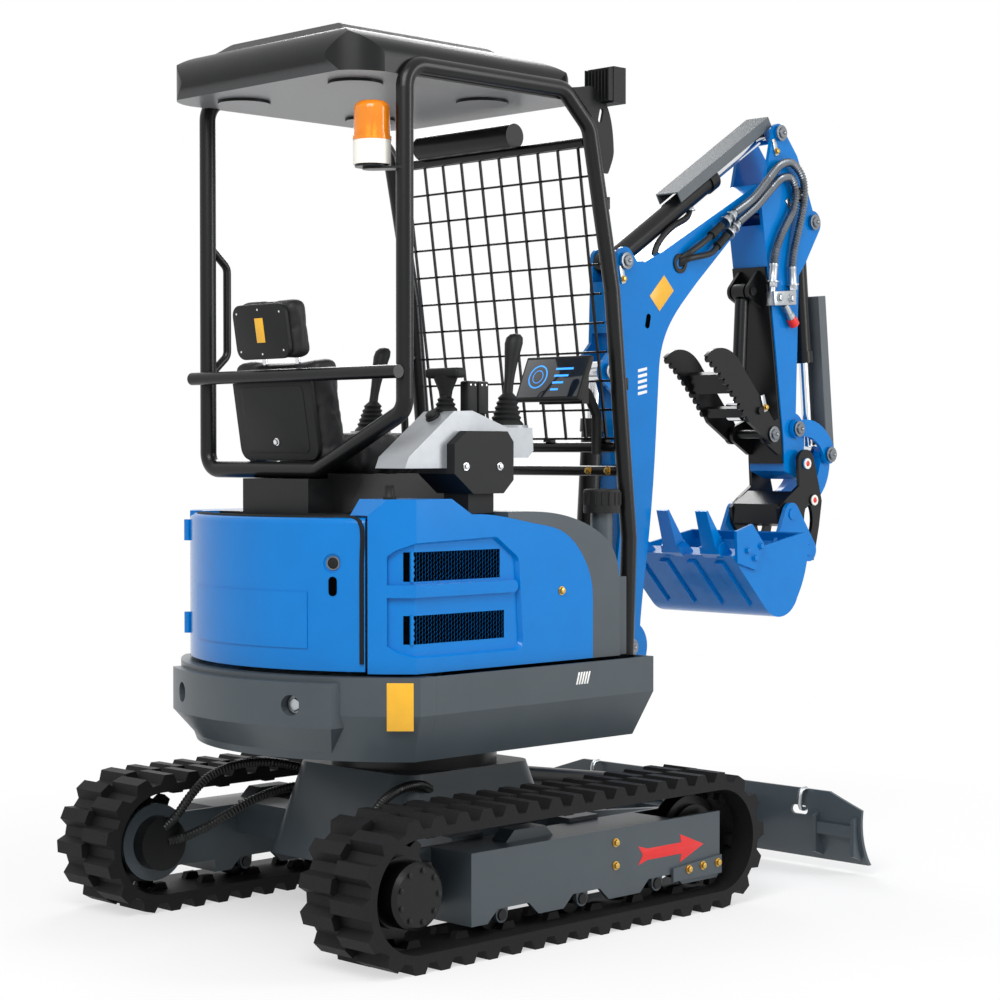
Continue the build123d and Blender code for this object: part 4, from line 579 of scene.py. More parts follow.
def seam_distance(across, along, half, corner):
    """How far a point is from a rounded rectangle that is sewn into a pad."""
    outside = Vector((abs(across) - half[0] + corner, abs(along) - half[1] + corner))
    reach = Vector((max(outside.x, 0), max(outside.y, 0))).length
    return abs(reach + min(max(outside.x, outside.y), 0) - corner)


def stuffed_pad(name, size, place, axis, swell, seam_in):
    """A sewn pad: a block set in from its full size, blown up as cloth, with a seam pressed in round its face."""
    form = bmesh.new()
    small = [side - 2 * PAD_START for side in size]
    stand = seated(spot(*place), axis)
    add(form, block(small, PAD_EDGE, 4), stand)
    start = piece_of(form, name + "_form", VINYL)
    remesh = start.modifiers.new("even_faces", "REMESH")
    remesh.mode = "VOXEL"
    remesh.voxel_size = PAD_VOXEL
    bpy.context.view_layer.update()
    even = bpy.data.meshes.new_from_object(start.evaluated_get(bpy.context.evaluated_depsgraph_get()))
    bpy.data.objects.remove(start)
    pad = bpy.data.objects.new(name, even)
    bpy.context.collection.objects.link(pad)
    rest = [vert.co.copy() for vert in even.vertices]
    cloth = pad.modifiers.new("stuffing", "CLOTH")
    cloth.settings.use_pressure = True
    cloth.settings.uniform_pressure_force = BLOW_PRESSURE
    cloth.settings.effector_weights.gravity = 0.0
    cloth.point_cache.frame_start = 1
    cloth.point_cache.frame_end = BLOW_FRAMES
    for step in range(1, BLOW_FRAMES + 1):
        bpy.context.scene.frame_set(step)
    blown = bpy.data.meshes.new_from_object(pad.evaluated_get(bpy.context.evaluated_depsgraph_get()))
    pad.modifiers.remove(cloth)
    bpy.context.scene.frame_set(1)
    for vert, old, new in zip(even.vertices, rest, blown.vertices):
        move = new.co - old
        vert.co = old + move * min(1.0, swell / 1000 / max(move.length, 1e-9))
    bpy.data.meshes.remove(blown)
    back_to_pad = stand.inverted()
    sewn = bmesh.new()
    sewn.from_mesh(even)
    bmesh.ops.smooth_vert(sewn, verts=sewn.verts, factor=0.5, use_axis_x=True, use_axis_y=True, use_axis_z=True)
    sewn.normal_update()
    half = (size[0] / 2 - seam_in, size[1] / 2 - seam_in)
    for vert in sewn.verts:
        local = back_to_pad @ vert.co
        on_face = max(0.0, vert.normal.dot(Vector(axis)))
        off_seam = seam_distance(local.x, local.y, half, SEAM_CORNER) / SEAM_WIDTH
        press = SEAM_DEPTH * math.exp(-off_seam ** 2) * on_face
        vert.co -= vert.normal * press / 1000
    sewn.to_mesh(even)
    sewn.free()
    even.materials.clear()
    even.materials.append(VINYL)
    even.shade_smooth()
    finer = pad.modifiers.new("finer", "SUBSURF")
    finer.levels = 1
    finer.render_levels = 1
    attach(pad, "house")


stuffed_pad("seat_cushion", (382, 396, 104), (-93, SEAT_MID_Y, 1189), (0, 0, 1), 13, 62)
BACK_AXIS = Vector((0.987, 0, 0.16)).normalized()
BACK_PLACE = (-400, SEAT_MID_Y, 1336)
HEAD_PLACE = (-444, SEAT_MID_Y + 4, 1552)
stuffed_pad("seat_back", (382, 298, 96), BACK_PLACE, BACK_AXIS, 12, 58)
stuffed_pad("headrest", (248, 172, 80), HEAD_PLACE, BACK_AXIS, 11, 38)
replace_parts(bpy.data.objects["seat_cushion"], "seat")
POST = [(0, 0), (6.5, 0), (6.5, 70), (0, 70)]
POST_AXIS = (-0.16, 0, 0.987)
fitted("headrest_posts", CHROME, "house",
       *((turned(POST, 16), seated(spot(-388, SEAT_MID_Y + out, 1440), POST_AXIS)) for out in (-68, 68)))

# Hard shells on the backs of the pads, with their screws, and a blank plate

SHELL_OUT = 4
SHELL_THICK = 14


def rounded(wide, high, corner):
    """Outline of a rectangle with rounded corners, about its middle."""
    turns = [(1, 1, 0), (-1, 1, 90), (-1, -1, 180), (1, -1, 270)]
    return [(right * (wide / 2 - corner) + corner * math.cos(math.radians(start + step)),
             up * (high / 2 - corner) + corner * math.sin(math.radians(start + step)))
            for right, up, start in turns for step in range(0, 91, 15)]


back_stand = seated(spot(*BACK_PLACE), -BACK_AXIS) @ Matrix.Translation((0, 0, SHELL_OUT))
head_stand = seated(spot(*HEAD_PLACE), -BACK_AXIS) @ Matrix.Translation((0, 0, SHELL_OUT))
fitted("seat_shell", PLASTIC, "house", (slab(rounded(322, 240, 34), SHELL_THICK, 3), back_stand),
       (slab(rounded(258, 176, 16), 4, 1.5), back_stand @ Matrix.Translation((0, -12, 12))))
fitted("headrest_shell", PLASTIC, "house", (slab(rounded(216, 144, 30), SHELL_THICK, 3), head_stand))
DOME = [(0, 0), (3, 0), (3, 1), (1.8, 2), (0, 2)]
fitted("headrest_screws", CHROME, "house",
       *((turned(DOME, 12), head_stand @ Matrix.Translation((x, y, SHELL_THICK)))
         for x, y in ((-88, -50), (0, -58), (88, -50), (-88, 50), (0, 58), (88, 50))))
fitted("headrest_plate", YELLOW_FILM, "house",
       (block((34, 64, 0.8), 0.25), head_stand @ Matrix.Translation((0, 4, 13.8))))
fitted("seat_shell_bolt", CHROME, "house",
       (hex_bolt(13, 8), back_stand @ Matrix.Translation((0, -70, 16))))

# Pin ends, seen from both sides, on the body that carries each pin

PIN_CAP = [(0, 0), (25, 0), (25, 4), (17, 5), (17, 10), (15, 12), (6, 12), (5, 9), (0, 9)]
NIPPLE = [(0, 9), (3.2, 9), (3.2, 13), (1.6, 14), (2.4, 17), (0, 18)]
PINS = {"boom_foot": (790, 662), "boom_tip": (1585, 2055), "boom_rod_eye": (722, 1473),
        "arm_barrel_foot": (790, 1800), "arm_rod_eye": (1496, 2243), "rocker_pin": (1580, 1311),
        "rocker_end": (1745, 1229), "bucket_barrel_foot": (1672, 1975),
        "thumb_hinge": (1450, 1293)}
for pin, (x, z) in PINS.items():
    for side, hand in SIDES:
        place, body = side_landing(x, z, side)
        stand = seated(place, (0, side, 0))
        fitted(pin + "_cap_" + hand, STEEL, body, (turned(PIN_CAP, 24), stand))
        fitted(pin + "_nipple_" + hand, ZINC, body, (turned(NIPPLE, 12), stand))

# Keeper plates beside the pins, each held by one yellow-zinc bolt

KEEPERS = {"boom_ear": (776, 1762, 12), "arm_ear": (1474, 2200, 20), "thumb_eye": (1398, 1392, 20),
           "arm_pivot": (1548, 2020, 40)}
for keeper, (x, z, lean) in KEEPERS.items():
    place, body = side_landing(x, z, -1)
    stand = seated(place, (0, -1, 0), math.radians(lean))
    fitted(keeper + "_keeper", ZINC, body, (slab([(-9, -30), (9, -30), (9, 24), (-9, 24)], 5, 1.2), stand))
    fitted(keeper + "_bolt", GOLD, body, (hex_bolt(13, 9), stand @ Matrix.Translation((0, -16, 5))))

# Bolts on the flanks

FLANK_BOLTS = {"frame_bolts": [(170, 222), (170, 162), (452, 117), (510, 120), (573, 120)],
               "cover_bolt": [(110, 874)],
               "cutter_bolts": [(1135, 941), (1198, 952), (1169, 917)]}
BOLT_FINISH = {"cutter_bolts": BLUE}
for group, spots in FLANK_BOLTS.items():
    for side, hand in SIDES:
        if group == "cover_bolt" and side > 0:
            continue
        seats = [side_landing(x, z, side) for x, z in spots]
        fitted(group + "_" + hand, BOLT_FINISH.get(group, GOLD), seats[0][1],
               *((hex_bolt(15, 9), seated(place, (0, side, 0))) for place, body in seats))

# Coupler: capped pin ends

COUPLER_CAPS = {"arm_tip": (1600, 1200), "link": (1637, 1083)}
for cap, (x, z) in COUPLER_CAPS.items():
    place, body = side_landing(x, z, -1)
    stand = seated(place, (0, -1, 0))
    fitted("coupler_cap_" + cap, OFF_WHITE, body, (ring(9, 17, 4), stand))
    fitted("coupler_plug_" + cap, RED_FILM, body, (turned([(0, 0), (9, 0), (9, 3), (7, 4.5), (0, 5)]), stand))

# Final drives: a ring of bolts round each motor cover

DRIVE_X = -552
DRIVE_Z = 185
DRIVE_RING = 62
DRIVE_BOLTS = 9
for side, hand in SIDES:
    turns = [2 * math.pi * i / DRIVE_BOLTS for i in range(DRIVE_BOLTS)]
    starts = [(DRIVE_X + DRIVE_RING * math.cos(turn), side * WELL_CLEAR, DRIVE_Z + DRIVE_RING * math.sin(turn))
              for turn in turns]
    seats = [place_on("track_drive_" + hand, start, (0, -side, 0)) for start in starts]
    fitted("drive_bolts_" + hand, POWDER, "undercarriage",
           *((hex_bolt(12, 3.8), seated(place, (0, side, 0))) for place in seats))

# Direction arrow on each track frame's flank

ARROW = [(-132, -25), (-96, -15), (40, -15), (34, -38), (132, 0), (34, 38), (40, 15), (-96, 15), (-132, 25),
         (-114, 0)]
for side, hand in SIDES:
    place, body = side_landing(390, 176, side)
    flip = Matrix.Diagonal((side * -1, 1, 1, 1))
    fitted("travel_arrow_" + hand, RED_FILM, body, (slab(ARROW, 0.8, 0.2), seated(place, (0, side, 0)) @ flip))

# Plain stripes and blank plates

STRIPES = 5
stripe_seat = place_on("house_frame", (167, -WELL_CLEAR, 643), (0, 1, 0))
fitted("skirt_stripes", WHITE_FILM, "house",
       *((slab([(-8, -16), (-2, -16), (8, 16), (2, 16)], 0.6, 0.1),
          seated(stripe_seat, (0, -1, 0)) @ Matrix.Translation((10 * (i - 2), 0, 0))) for i in range(STRIPES)))
stripe_seat = place_on("boom", (869, -400, 1447), (0, 1, 0))
fitted("boom_stripes", WHITE_FILM, "boom",
       *((slab([(-20, -8), (20, 0), (20, 9), (-20, 1)], 0.6, 0.1),
          seated(stripe_seat, (0, -1, 0)) @ Matrix.Translation((0, 17 * (i - 2), 0))) for i in range(STRIPES)))
plate_seat = place_on("boom", (955, -400, 1713), (0, 1, 0))
fitted("boom_plate", YELLOW_FILM, "boom",
       (block((92, 62, 0.9), 0.3), seated(plate_seat, (0, -1, 0), math.radians(45))))
plate_seat, plate_out = landing("counterweight", (-450, -WELL_CLEAR, 612), (0, 1, 0))
fitted("tail_plate", YELLOW_FILM, "house", (block((66, 118, 1.6), 0.4), seated(plate_seat, plate_out)))

# Perforated sheets in the right cover's two openings

HOLE_PITCH = 11.4
HOLE_WEB = 1.75
SHEET_THICK = 1.2
SHEET_Y = -439.5
SHADE_SHEET_Y = -437.6
COVER_CORNER_X = -398
COVER_CORNER_TURN = math.radians(44)
GRILLES = {"grille_low": (-420, -90, 762, 833), "grille_high": (-420, -105, 917, 990)}


def folded(shape, corner):
    """Fold the stretch before a corner back, as the cover turns there."""
    bmesh.ops.bisect_plane(shape, geom=shape.verts[:] + shape.edges[:] + shape.faces[:], plane_co=(corner, 0, 0),
                           plane_no=(1, 0, 0))
    bmesh.ops.rotate(shape, cent=(corner, 0, 0), matrix=Matrix.Rotation(-COVER_CORNER_TURN, 3, "Y"),
                     verts=[vert for vert in shape.verts if vert.co.x < corner - 0.001])
    return shape


def perforated(name, opening_x0, x1, z0, z1):
    """Sheet of six-sided cells, each with its hole, trimmed to the opening, and a near-black sheet of painted shade
    behind it.
    """
    x0 = COVER_CORNER_X - (COVER_CORNER_X - opening_x0) / math.cos(COVER_CORNER_TURN)
    cell = bmesh.new()
    bmesh.ops.create_circle(cell, cap_ends=True, segments=6, radius=HOLE_PITCH / math.sqrt(3),
                            matrix=Matrix.Rotation(math.radians(30), 4, "Z"))
    middle = cell.faces[:]
    bmesh.ops.inset_region(cell, faces=middle, thickness=HOLE_WEB)
    hole = middle[0].edges[:]
    bmesh.ops.delete(cell, geom=middle, context="FACES_ONLY")
    wall = bmesh.ops.extrude_edge_only(cell, edges=hole)["geom"]
    bmesh.ops.translate(cell, vec=(0, 0, -SHEET_THICK), verts=[v for v in wall if isinstance(v, bmesh.types.BMVert)])
    held = bpy.data.meshes.new("held")
    cell.to_mesh(held)
    cell.free()
    sheet = bmesh.new()
    column = HOLE_PITCH * math.sqrt(3) / 2
    count = len(held.vertices)
    for i in range(int((x1 - x0) / column) + 2):
        for j in range(int((z1 - z0) / HOLE_PITCH) + 2):
            sheet.from_mesh(held)
            sheet.verts.ensure_lookup_table()
            rise = HOLE_PITCH * (j + 0.5 * (i % 2))
            bmesh.ops.translate(sheet, vec=(i * column, rise, 0), verts=sheet.verts[-count:])
    bpy.data.meshes.remove(held)
    bmesh.ops.remove_doubles(sheet, verts=sheet.verts, dist=0.01)
    for co, no in (((0, 0, 0), (-1, 0, 0)), ((x1 - x0, 0, 0), (1, 0, 0)), ((0, 0, 0), (0, -1, 0)),
                   ((0, z1 - z0, 0), (0, 1, 0))):
        bmesh.ops.bisect_plane(sheet, geom=sheet.verts[:] + sheet.edges[:] + sheet.faces[:], plane_co=co,
                               plane_no=no, clear_outer=True)
    corner = COVER_CORNER_X - x0
    fitted(name + "_sheet", BLUE, "house", (folded(sheet, corner), seated(spot(x0, SHEET_Y, z0), (0, -1, 0))))
    # Painted shade: a near-black sheet behind the holes stands in for the shade inside the opening.
    shade_sheet = slab([(0, 0), (x1 - x0, 0), (x1 - x0, z1 - z0), (0, z1 - z0)], 0.5, 0.1)
    fitted(name + "_felt", PAINTED_SHADE, "house", (folded(shade_sheet, corner), seated(spot(x0, SHADE_SHEET_Y, z0), (0, -1, 0))))


for name, opening in GRILLES.items():
    perforated(name, *opening)

# Hood: lock, grip slot, and rubber seals along its top, down its right edge and in the gap beside it

LOCK_TURN = math.radians(208.08)
LOCK_AXIS = (math.cos(LOCK_TURN), math.sin(LOCK_TURN), 0)
LOCK_OUT = 597.2
LOCK_Z = 962
EDGE_TURN = math.radians(215.2)
EDGE_AXIS = Vector((math.cos(EDGE_TURN), math.sin(EDGE_TURN), 0))
HOOD_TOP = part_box("hood")[1][2] * 1000
TOP_SEAL_OUT = 588
SEAL_TURN = math.radians(216.3)
SEAL_OUT = 601


def round_the_tail(radius, turn, z):
    """A point on the tail's curve, in millimetres from the slewing axis."""
    return radius * math.cos(turn), radius * math.sin(turn), z


lock_seat = seated(spot(*round_the_tail(LOCK_OUT, LOCK_TURN, LOCK_Z)), LOCK_AXIS)
fitted("hood_lock_dish", BLUE, "hood", (ring(18, 31, 4, 40), lock_seat))
fitted("hood_lock_ring", STEEL, "hood", (ring(14, 18, 6, 40), lock_seat))
fitted("hood_lock_core", PLASTIC, "hood", (turned([(0, 0), (14, 0), (14, 3), (11, 4), (0, 4)]), lock_seat),
       (block((4, 14, 2), 0.6), lock_seat @ Matrix.Translation((0, 0, 4))))
slot_place = place_on("hood", (-700, -374, 905), (0.8823, 0.4707, 0))
# The grip slot is a near-black slab of painted shade where the slot's hollow lies.
fitted("hood_grip_slot", PAINTED_SHADE, "hood", (slab(rounded(22, 48, 10.5), 1.6, 0.4), seated(slot_place, LOCK_AXIS)))
hood_edge = [round_the_tail(TOP_SEAL_OUT, math.radians(turn), HOOD_TOP - 1) for turn in range(152, 213, 6)]
for z in (HOOD_TOP - 22, HOOD_TOP - 120, HOOD_TOP - 230, 714):
    edge = place_on("hood", round_the_tail(WELL_CLEAR, EDGE_TURN, z), -EDGE_AXIS)
    hood_edge.append(((edge.x - SLEW_X) * 1000, edge.y * 1000, z))
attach(hose("hood_seal", RUBBER, 6, hood_edge), "hood")
fitted("hood_side_seal", RUBBER, "house",
       (block((5, 5, 360), 1.5), seated(spot(*round_the_tail(SEAL_OUT, SEAL_TURN, 706)), (0, 0, 1))))

# Counterweight: two bolts in their seats

for side, hand in SIDES:
    fitted("counterweight_bolt_" + hand, ZINC, "house",
           (hex_bolt(30, 16), seated(spot(-585.7, side * 209.5, 612), (-0.9416, side * 0.337, 0))))

# Controls

KNOB = [(0, 0), (17, 0), (17, 5), (14, 9), (11, 28), (12, 32), (9, 35), (0, 35)]
plinth = place_on("right_cover", (-430, -380, 1300), (0, 0, -1))
fitted("cover_knob", PLASTIC, "house", (turned(KNOB), seated(plinth, (0, 0, 1))))

lid, lid_up = landing("console_lid", (-250, -345, 1600), (0, 0, -1))
fitted("lid_button", PLASTIC, "house",
       (turned([(0, 0), (20, 0), (20, 4), (17, 6), (17, 12), (14, 15), (0, 16)]), seated(lid, lid_up)))

T_LEVER = (-207, -345)
lever_foot = place_on("console_lid", (*T_LEVER, 1600), (0, 0, -1))
foot_z = lever_foot.z * 1000
LEVER_BOOT = [(0, -6), (30, -6), (30, 6), (23, 12), (26, 18), (19, 24), (22, 30), (15, 36), (15, 40), (0, 40)]
LEVER_NECK = [(0, 36), (17, 36), (20, 52), (34, 84), (38, 94), (0, 96)]
fitted("blade_lever", PLASTIC, "house",
       (turned(LEVER_BOOT), seated(lever_foot, (0, 0, 1))),
       (turned(LEVER_NECK), seated(lever_foot, (0, 0, 1)) @ Matrix.Diagonal((0.55, 1.2, 1, 1))),
       (block((38, 122, 26), 9, 3), seated(spot(*T_LEVER, foot_z + 84), (0, 0, 1))))

TWIN_X = (-157, -117)
TWIN_Y = -378
TWIN_BOOT = [(0, -4), (30, -4)] + [(27 - 2.2 * i - (4 if i % 2 else 0), 7 * i) for i in range(8)] + [(0, 50)]
for x, end in zip(TWIN_X, ("rear", "front")):
    post = place_on("consoles", (x, TWIN_Y, 1600), (0, 0, -1))
    fitted("travel_lever_" + end, PLASTIC, "house",
           (turned(TWIN_BOOT, 4), seated(post, (0, 0, 1), math.radians(45))),
           (block((36, 30, 84), 5), seated(post, (0, 0, 1)) @ Matrix.Translation((0, 0, 44))))
    fitted("travel_lever_screws_" + end, CHROME, "house",
           *((turned([(0, 0), (3, 0), (3, 1.4), (2, 2), (0, 2)], 12),
              seated(post + Vector((out / 1000, -0.015, 0.118)), (0, -1, 0))) for out in (-8, 8)))

STICK_RISE = 249
STICK_BOOT = ([(0, -2), (46, -2), (46, 10)]
              + [(43 - 1.7 * i - (5 if i % 2 else 0), 14 + 6.5 * i) for i in range(12)] + [(14, 91), (0, 91)])
STICK_GRIP = [(0, 80), (13, 80), (12.5, 110), (14, 140), (17, 170), (21, 198), (24, 222), (22, 237), (14, 246),
              (0, STICK_RISE)]


def leaning(shape, reach):
    """Bend a control lever forward, the more the higher up."""
    for vert in shape.verts:
        vert.co.x += reach * (max(vert.co.z, 0) / STICK_RISE) ** 1.6
    return shape


STICKS = {"right": (20, -335, 1300, 34), "left": (146, 345, 1290, 52)}
levers = []
for hand, (x, y, z, reach) in STICKS.items():
    stand = Matrix.Translation(spot(x, y, z)) @ Matrix.Scale(0.001, 4)
    fitted("stick_trim_" + hand, SILVER, "house", (ring(47, 58, 7, 40), stand))
    levers += [(leaning(turned(STICK_BOOT, 28), reach), stand), (leaning(turned(STICK_GRIP, 24), reach), stand)]
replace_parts(fitted("joystick_pair", PLASTIC, "house", *levers), "joysticks")

DISPLAY = (212, -331, 1429)
DISPLAY_LEAN = math.radians(23)
display_stand = seated(spot(*DISPLAY), (-math.cos(DISPLAY_LEAN), 0, math.sin(DISPLAY_LEAN)))
fitted("display_case", PLASTIC, "house", (block((240, 130, 15), 5, 3), display_stand))
fitted("display_glass", GLASS, "house",
       (block((222, 112, 1.6), 0.7), display_stand @ Matrix.Translation((0, 0, 14.6))))
LIT_Z = 15.8
dial_stand = display_stand @ Matrix.Translation((-54, 4, LIT_Z))
fitted("display_dial", LIT, "house", (ring(30, 34, 0.8, 48), dial_stand), (ring(17, 19, 0.8, 40), dial_stand),
       *((block((64 - 12 * i, 6, 0.8), 0.3), display_stand @ Matrix.Translation((38 - 6 * i, 26 - 20 * i, LIT_Z)))
         for i in range(4)))

CONSOLE_BOLTS = [(-215, 1200), (-95, 1200)]
seats = [place_on("consoles", (x, -WELL_CLEAR, z), (0, 1, 0)) for x, z in CONSOLE_BOLTS]
fitted("console_bolts", CHROME, "house", *((hex_bolt(13, 8), seated(place, (0, -1, 0))) for place in seats))

# Canopy: clips on the front post, bolts on the cross bar, lens of the work light

POST_Y = -398
for z, level in ((1907, "high"), (1422, "low")):
    post = place_on("canopy_side_right", (700, POST_Y, z), (-1, 0, 0))
    fitted("post_clip_" + level, POWDER, "house", (block((20, 34, 9), 2.5), seated(post, (1, 0, 0))))
seats = [place_on("canopy_bars", (200, y, 1186), (1, 0, 0)) for y in (-275, -347)]
fitted("bar_bolts", GOLD, "house", *((hex_bolt(15, 9), seated(place, (-1, 0, 0))) for place in seats))
lamp = place_on("work_light", (WELL_CLEAR, POST_Y, 2225), (-1, 0, 0))
fitted("lamp_lens", LENS, "house", (block((74, 64, 2.2), 1.0), seated(lamp, (1, 0, 0))))

# Blade: two lifting handles

HANDLE_Y = 420
HANDLE_BOW = [(2, 178), (-24, 182), (-30, 208), (-24, 234), (2, 238)]
for side, hand in SIDES:
    back = place_on("blade", (WELL_CLEAR, side * HANDLE_Y, 208), (1, 0, 0))
    back_x = (back.x - SLEW_X) * 1000
    handle = hose("blade_handle_" + hand, ZINC, 6.5, [(back_x + out, side * HANDLE_Y, z) for out, z in HANDLE_BOW])
    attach(handle, "blade")

# Hydraulics on the boom and arm

HOSE_Y = -88
THIN_HOSE = 9.5
TIP_HOSE = 13.5
TIP_RIB = 0.28
CRIMP = [(0, 0), (14, 0), (14, 8), (13, 10), (13, 50), (14, 52), (14, 58), (0, 58)]
LINES = {"upper": ((1176, 1912), (1279, 1982)), "lower": ((1203, 1882), (1295, 1953))}
LINE_STARTS = {"upper": ((1037, -46, 1815), (1060, -72, 1838)), "lower": ((1037, -46, 1800), (1060, -72, 1822))}
for level, ((x0, z0), (x1, z1)) in LINES.items():
    along = Vector((x1 - x0, 0, z1 - z0)).normalized()
    start = spot(x0 - 26 * along.x, HOSE_Y + 8, z0 - 26 * along.z)
    end = spot(x1 - 74 * along.x, HOSE_Y + 8, z1 - 74 * along.z)
    fitted("line_crimp_" + level, PLASTIC, "boom", (turned(CRIMP), seated(start, along)))
    fitted("line_union_" + level, ZINC, "boom",
           (hex_bolt(26, 26), seated(end, along)),
           (turned([(0, 0), (11, 0), (11, 62), (0, 62)]), seated(end, along)),
           (hex_bolt(24, 22), seated(end + along * 0.032, along)))
    from_hole = hose("line_hose_" + level, HOSE, THIN_HOSE,
                     [*LINE_STARTS[level], (x0 - 70 * along.x, HOSE_Y + 6, z0 - 66 * along.z),
                      (x0 - 20 * along.x, HOSE_Y + 8, z0 - 20 * along.z)])
    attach(from_hole, "boom")
hole_place = place_on("boom", (1037, -400, 1807), (0, 1, 0))
fitted("line_grommet", HOSE, "boom", (ring(17, 30, 5), seated(hole_place, (0, -1, 0))))
# A near-black slab of painted shade stands in for the hollow of the slot in the boom.
slot_seat = place_on("boom", (893, -400, 1627), (0, 1, 0))
fitted("boom_slot_shade", PAINTED_SHADE, "boom",
       (slab(rounded(18, 44, 8.5), 1.6, 0.4), seated(slot_seat, (0, -1, 0), math.radians(-12))))

# Travel hoses under the house, from the middle of the undercarriage to each final drive

TRAVEL_ROUTES = {
    "low": [(-100, 200, 322), (-232, 240, 322), (-330, 262, 302), (-405, 286, 268), (-455, 330, 228),
            (-500, 372, 200), (-530, 398, 190)],
    "high": [(-120, 200, 346), (-248, 290, 384), (-350, 325, 386), (-430, 345, 362), (-480, 358, 320),
             (-520, 376, 262), (-545, 398, 226)]}
TRAVEL_HOSE = 13
TRAVEL_RIB = 0.14
for side, hand in SIDES:
    for level, route in TRAVEL_ROUTES.items():
        pipe = hose("travel_hose_" + level + "_" + hand, HOSE, TRAVEL_HOSE, [(x, side * y, z) for x, y, z in route],
                    TRAVEL_RIB)
        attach(pipe, "undercarriage")

# Guarded hoses over the boom's tip, which bend with the arm, and the block on the arm that they feed

over_tip = hose("tip_hose_upper", STEEL, TIP_HOSE,
                [(1268, HOSE_Y + 8, 1975), (1349, HOSE_Y, 2026), (1420, HOSE_Y - 4, 2092),
                 (1475, HOSE_Y - 6, 2139), (1532, HOSE_Y - 8, 2149), (1585, HOSE_Y - 8, 2106),
                 (1594, HOSE_Y - 6, 2036), (1573, HOSE_Y - 4, 1953), (1553, HOSE_Y, 1881),
                 (1541, HOSE_Y, 1820)], TIP_RIB)
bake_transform(over_tip, "boom", "arm", spot(1380, 0, 2075), spot(1570, 0, 1980))
under_tip = hose("tip_hose_lower", STEEL, TIP_HOSE,
                 [(1284, HOSE_Y + 8, 1946), (1365, HOSE_Y, 2003), (1436, HOSE_Y - 2, 2063),
                  (1483, HOSE_Y - 4, 2098), (1528, HOSE_Y - 4, 2103), (1554, HOSE_Y - 4, 2070),
                  (1545, HOSE_Y - 4, 2007), (1496, HOSE_Y - 2, 1937), (1462, HOSE_Y, 1875),
                  (1450, HOSE_Y, 1824)], TIP_RIB)
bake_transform(under_tip, "boom", "arm", spot(1380, 0, 2075), spot(1520, 0, 1965))
TIP_TAIL = [(0, 0), (10, 0), (10, 30), (0, 30)]
for level, x, z, lean in (("upper", 1541, 1824, 0.1), ("lower", 1450, 1828, -0.1)):
    down = (lean, 0, -1)
    fitted("tip_union_" + level, ZINC, "arm",
           (turned(CRIMP), seated(spot(x, HOSE_Y, z), down)),
           (hex_bolt(25, 20), seated(spot(x + 46 * lean, HOSE_Y, z - 54), down)),
           (turned(TIP_TAIL), seated(spot(x + 56 * lean, HOSE_Y, z - 66), down)))
valve_seat = place_on("arm", (1490, -400, 1722), (0, 1, 0))
fitted("arm_valve_block", ZINC, "arm",
       (block((112, 46, 34), 4), seated(valve_seat, (0, -1, 0), math.radians(4))),
       *((hex_bolt(20, 10), seated(valve_seat + Vector((out, -0.034, 0)), (0, -1, 0))) for out in (-0.03, 0.03)))
STUB_LEAN = (0.62, 0, -0.78)
stub_foot = valve_seat + Vector((0.018, -0.017, -0.02))
fitted("arm_stub", ZINC, "arm",
       (turned([(0, 0), (11, 0), (11, 34), (14, 36), (14, 52), (0, 52)]), seated(stub_foot, STUB_LEAN)))
fitted("arm_stub_cap", RED_FILM, "arm",
       (turned([(0, 0), (16, 0), (17, 4), (17, 26), (13, 30), (0, 31)]),
        seated(stub_foot + Vector(STUB_LEAN) * 0.052, STUB_LEAN)))
feed = hose("arm_barrel_hose", HOSE, THIN_HOSE,
            [(945, -30, 1800), (955, -30, 1846), (985, -30, 1884), (1035, -30, 1921), (1100, -22, 1948),
             (1130, -10, 1966), (1140, -6, 1982)])
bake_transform(feed, "boom", "arm_barrel", spot(985, -30, 1884), spot(1110, -22, 1948))
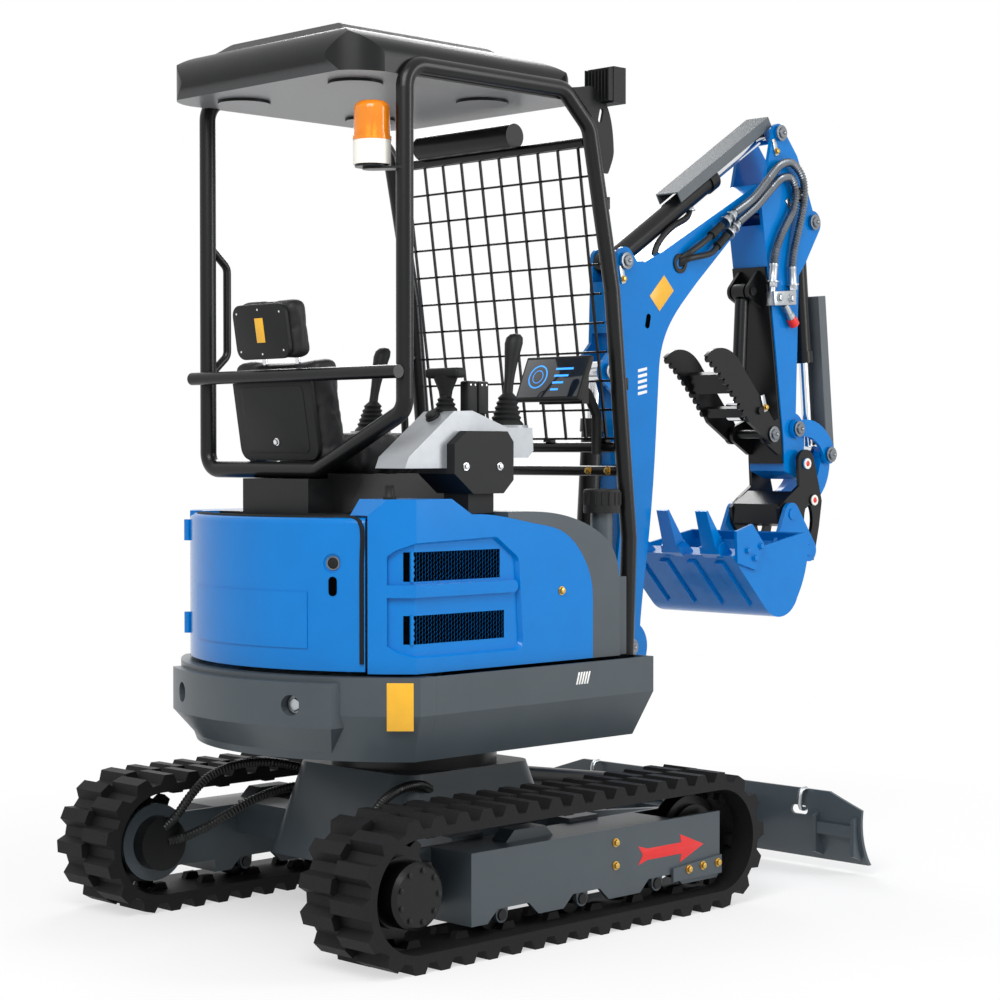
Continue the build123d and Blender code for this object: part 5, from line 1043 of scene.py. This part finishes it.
fitted("arm_barrel_union", ZINC, "arm_barrel", (hex_bolt(22, 12), seated(spot(1140, -6, 1978), (0, 0, 1))))

# Studio: a floor that runs out to white, a white world, three softboxes and the photograph's camera

floor_mesh = bmesh.new()
bmesh.ops.create_grid(floor_mesh, x_segments=1, y_segments=1, size=40.0)
floor_data = bpy.data.meshes.new("floor")
floor_mesh.to_mesh(floor_data)
floor = bpy.data.objects.new("floor", floor_data)
floor.data.materials.append(pale_floor())
bpy.context.collection.objects.link(floor)

world = bpy.data.worlds.new("studio")
bpy.context.scene.world = world
world.use_nodes = True
sky = world.node_tree
backdrop = sky.nodes["Background"]
glow = node(sky, "ShaderNodeMapRange", {"To Min": 0.5, "To Max": 1.0}, Value=(direct_rays(sky), 0))
sky.links.new(glow.outputs["Result"], backdrop.inputs["Strength"])
backdrop.inputs["Color"].default_value = (1, 1, 1, 1)


def softbox(name, place, aim, size, power):
    """A rectangular area light that looks at a point."""
    lamp = bpy.data.lights.new(name, "AREA")
    lamp.shape = "RECTANGLE"
    lamp.size = size[0]
    lamp.size_y = size[1]
    lamp.energy = power
    made = bpy.data.objects.new(name, lamp)
    made.location = place
    made.rotation_euler = (Vector(aim) - Vector(place)).to_track_quat("-Z", "Y").to_euler()
    bpy.context.collection.objects.link(made)


softbox("key_light", (-3.6, -2.2, 4.2), (-0.3, 0, 0.9), (2.6, 2.6), 170)
softbox("side_light", (2.4, -4.6, 2.6), (0, 0, 0.9), (1.6, 3.0), 110)
softbox("rim_light", (2.6, 3.4, 3.6), (0, 0, 1.2), (2.0, 2.0), 90)

CAMERA_DIP = 1.214
CAMERA_HEADING = 45.375
photo_camera = bpy.data.cameras.new("photo_camera")
photo_camera.sensor_width = 36.0
photo_camera.lens = 80.99
photo_camera.clip_end = 100.0
camera = bpy.data.objects.new("photo_camera", photo_camera)
camera.location = spot(-4137, -4524, 1236)
camera.rotation_euler = (math.radians(90 - CAMERA_DIP), 0, math.radians(CAMERA_HEADING - 90))
bpy.context.collection.objects.link(camera)
bpy.context.scene.camera = camera

view = bpy.context.scene.view_settings
view.view_transform = "Standard"
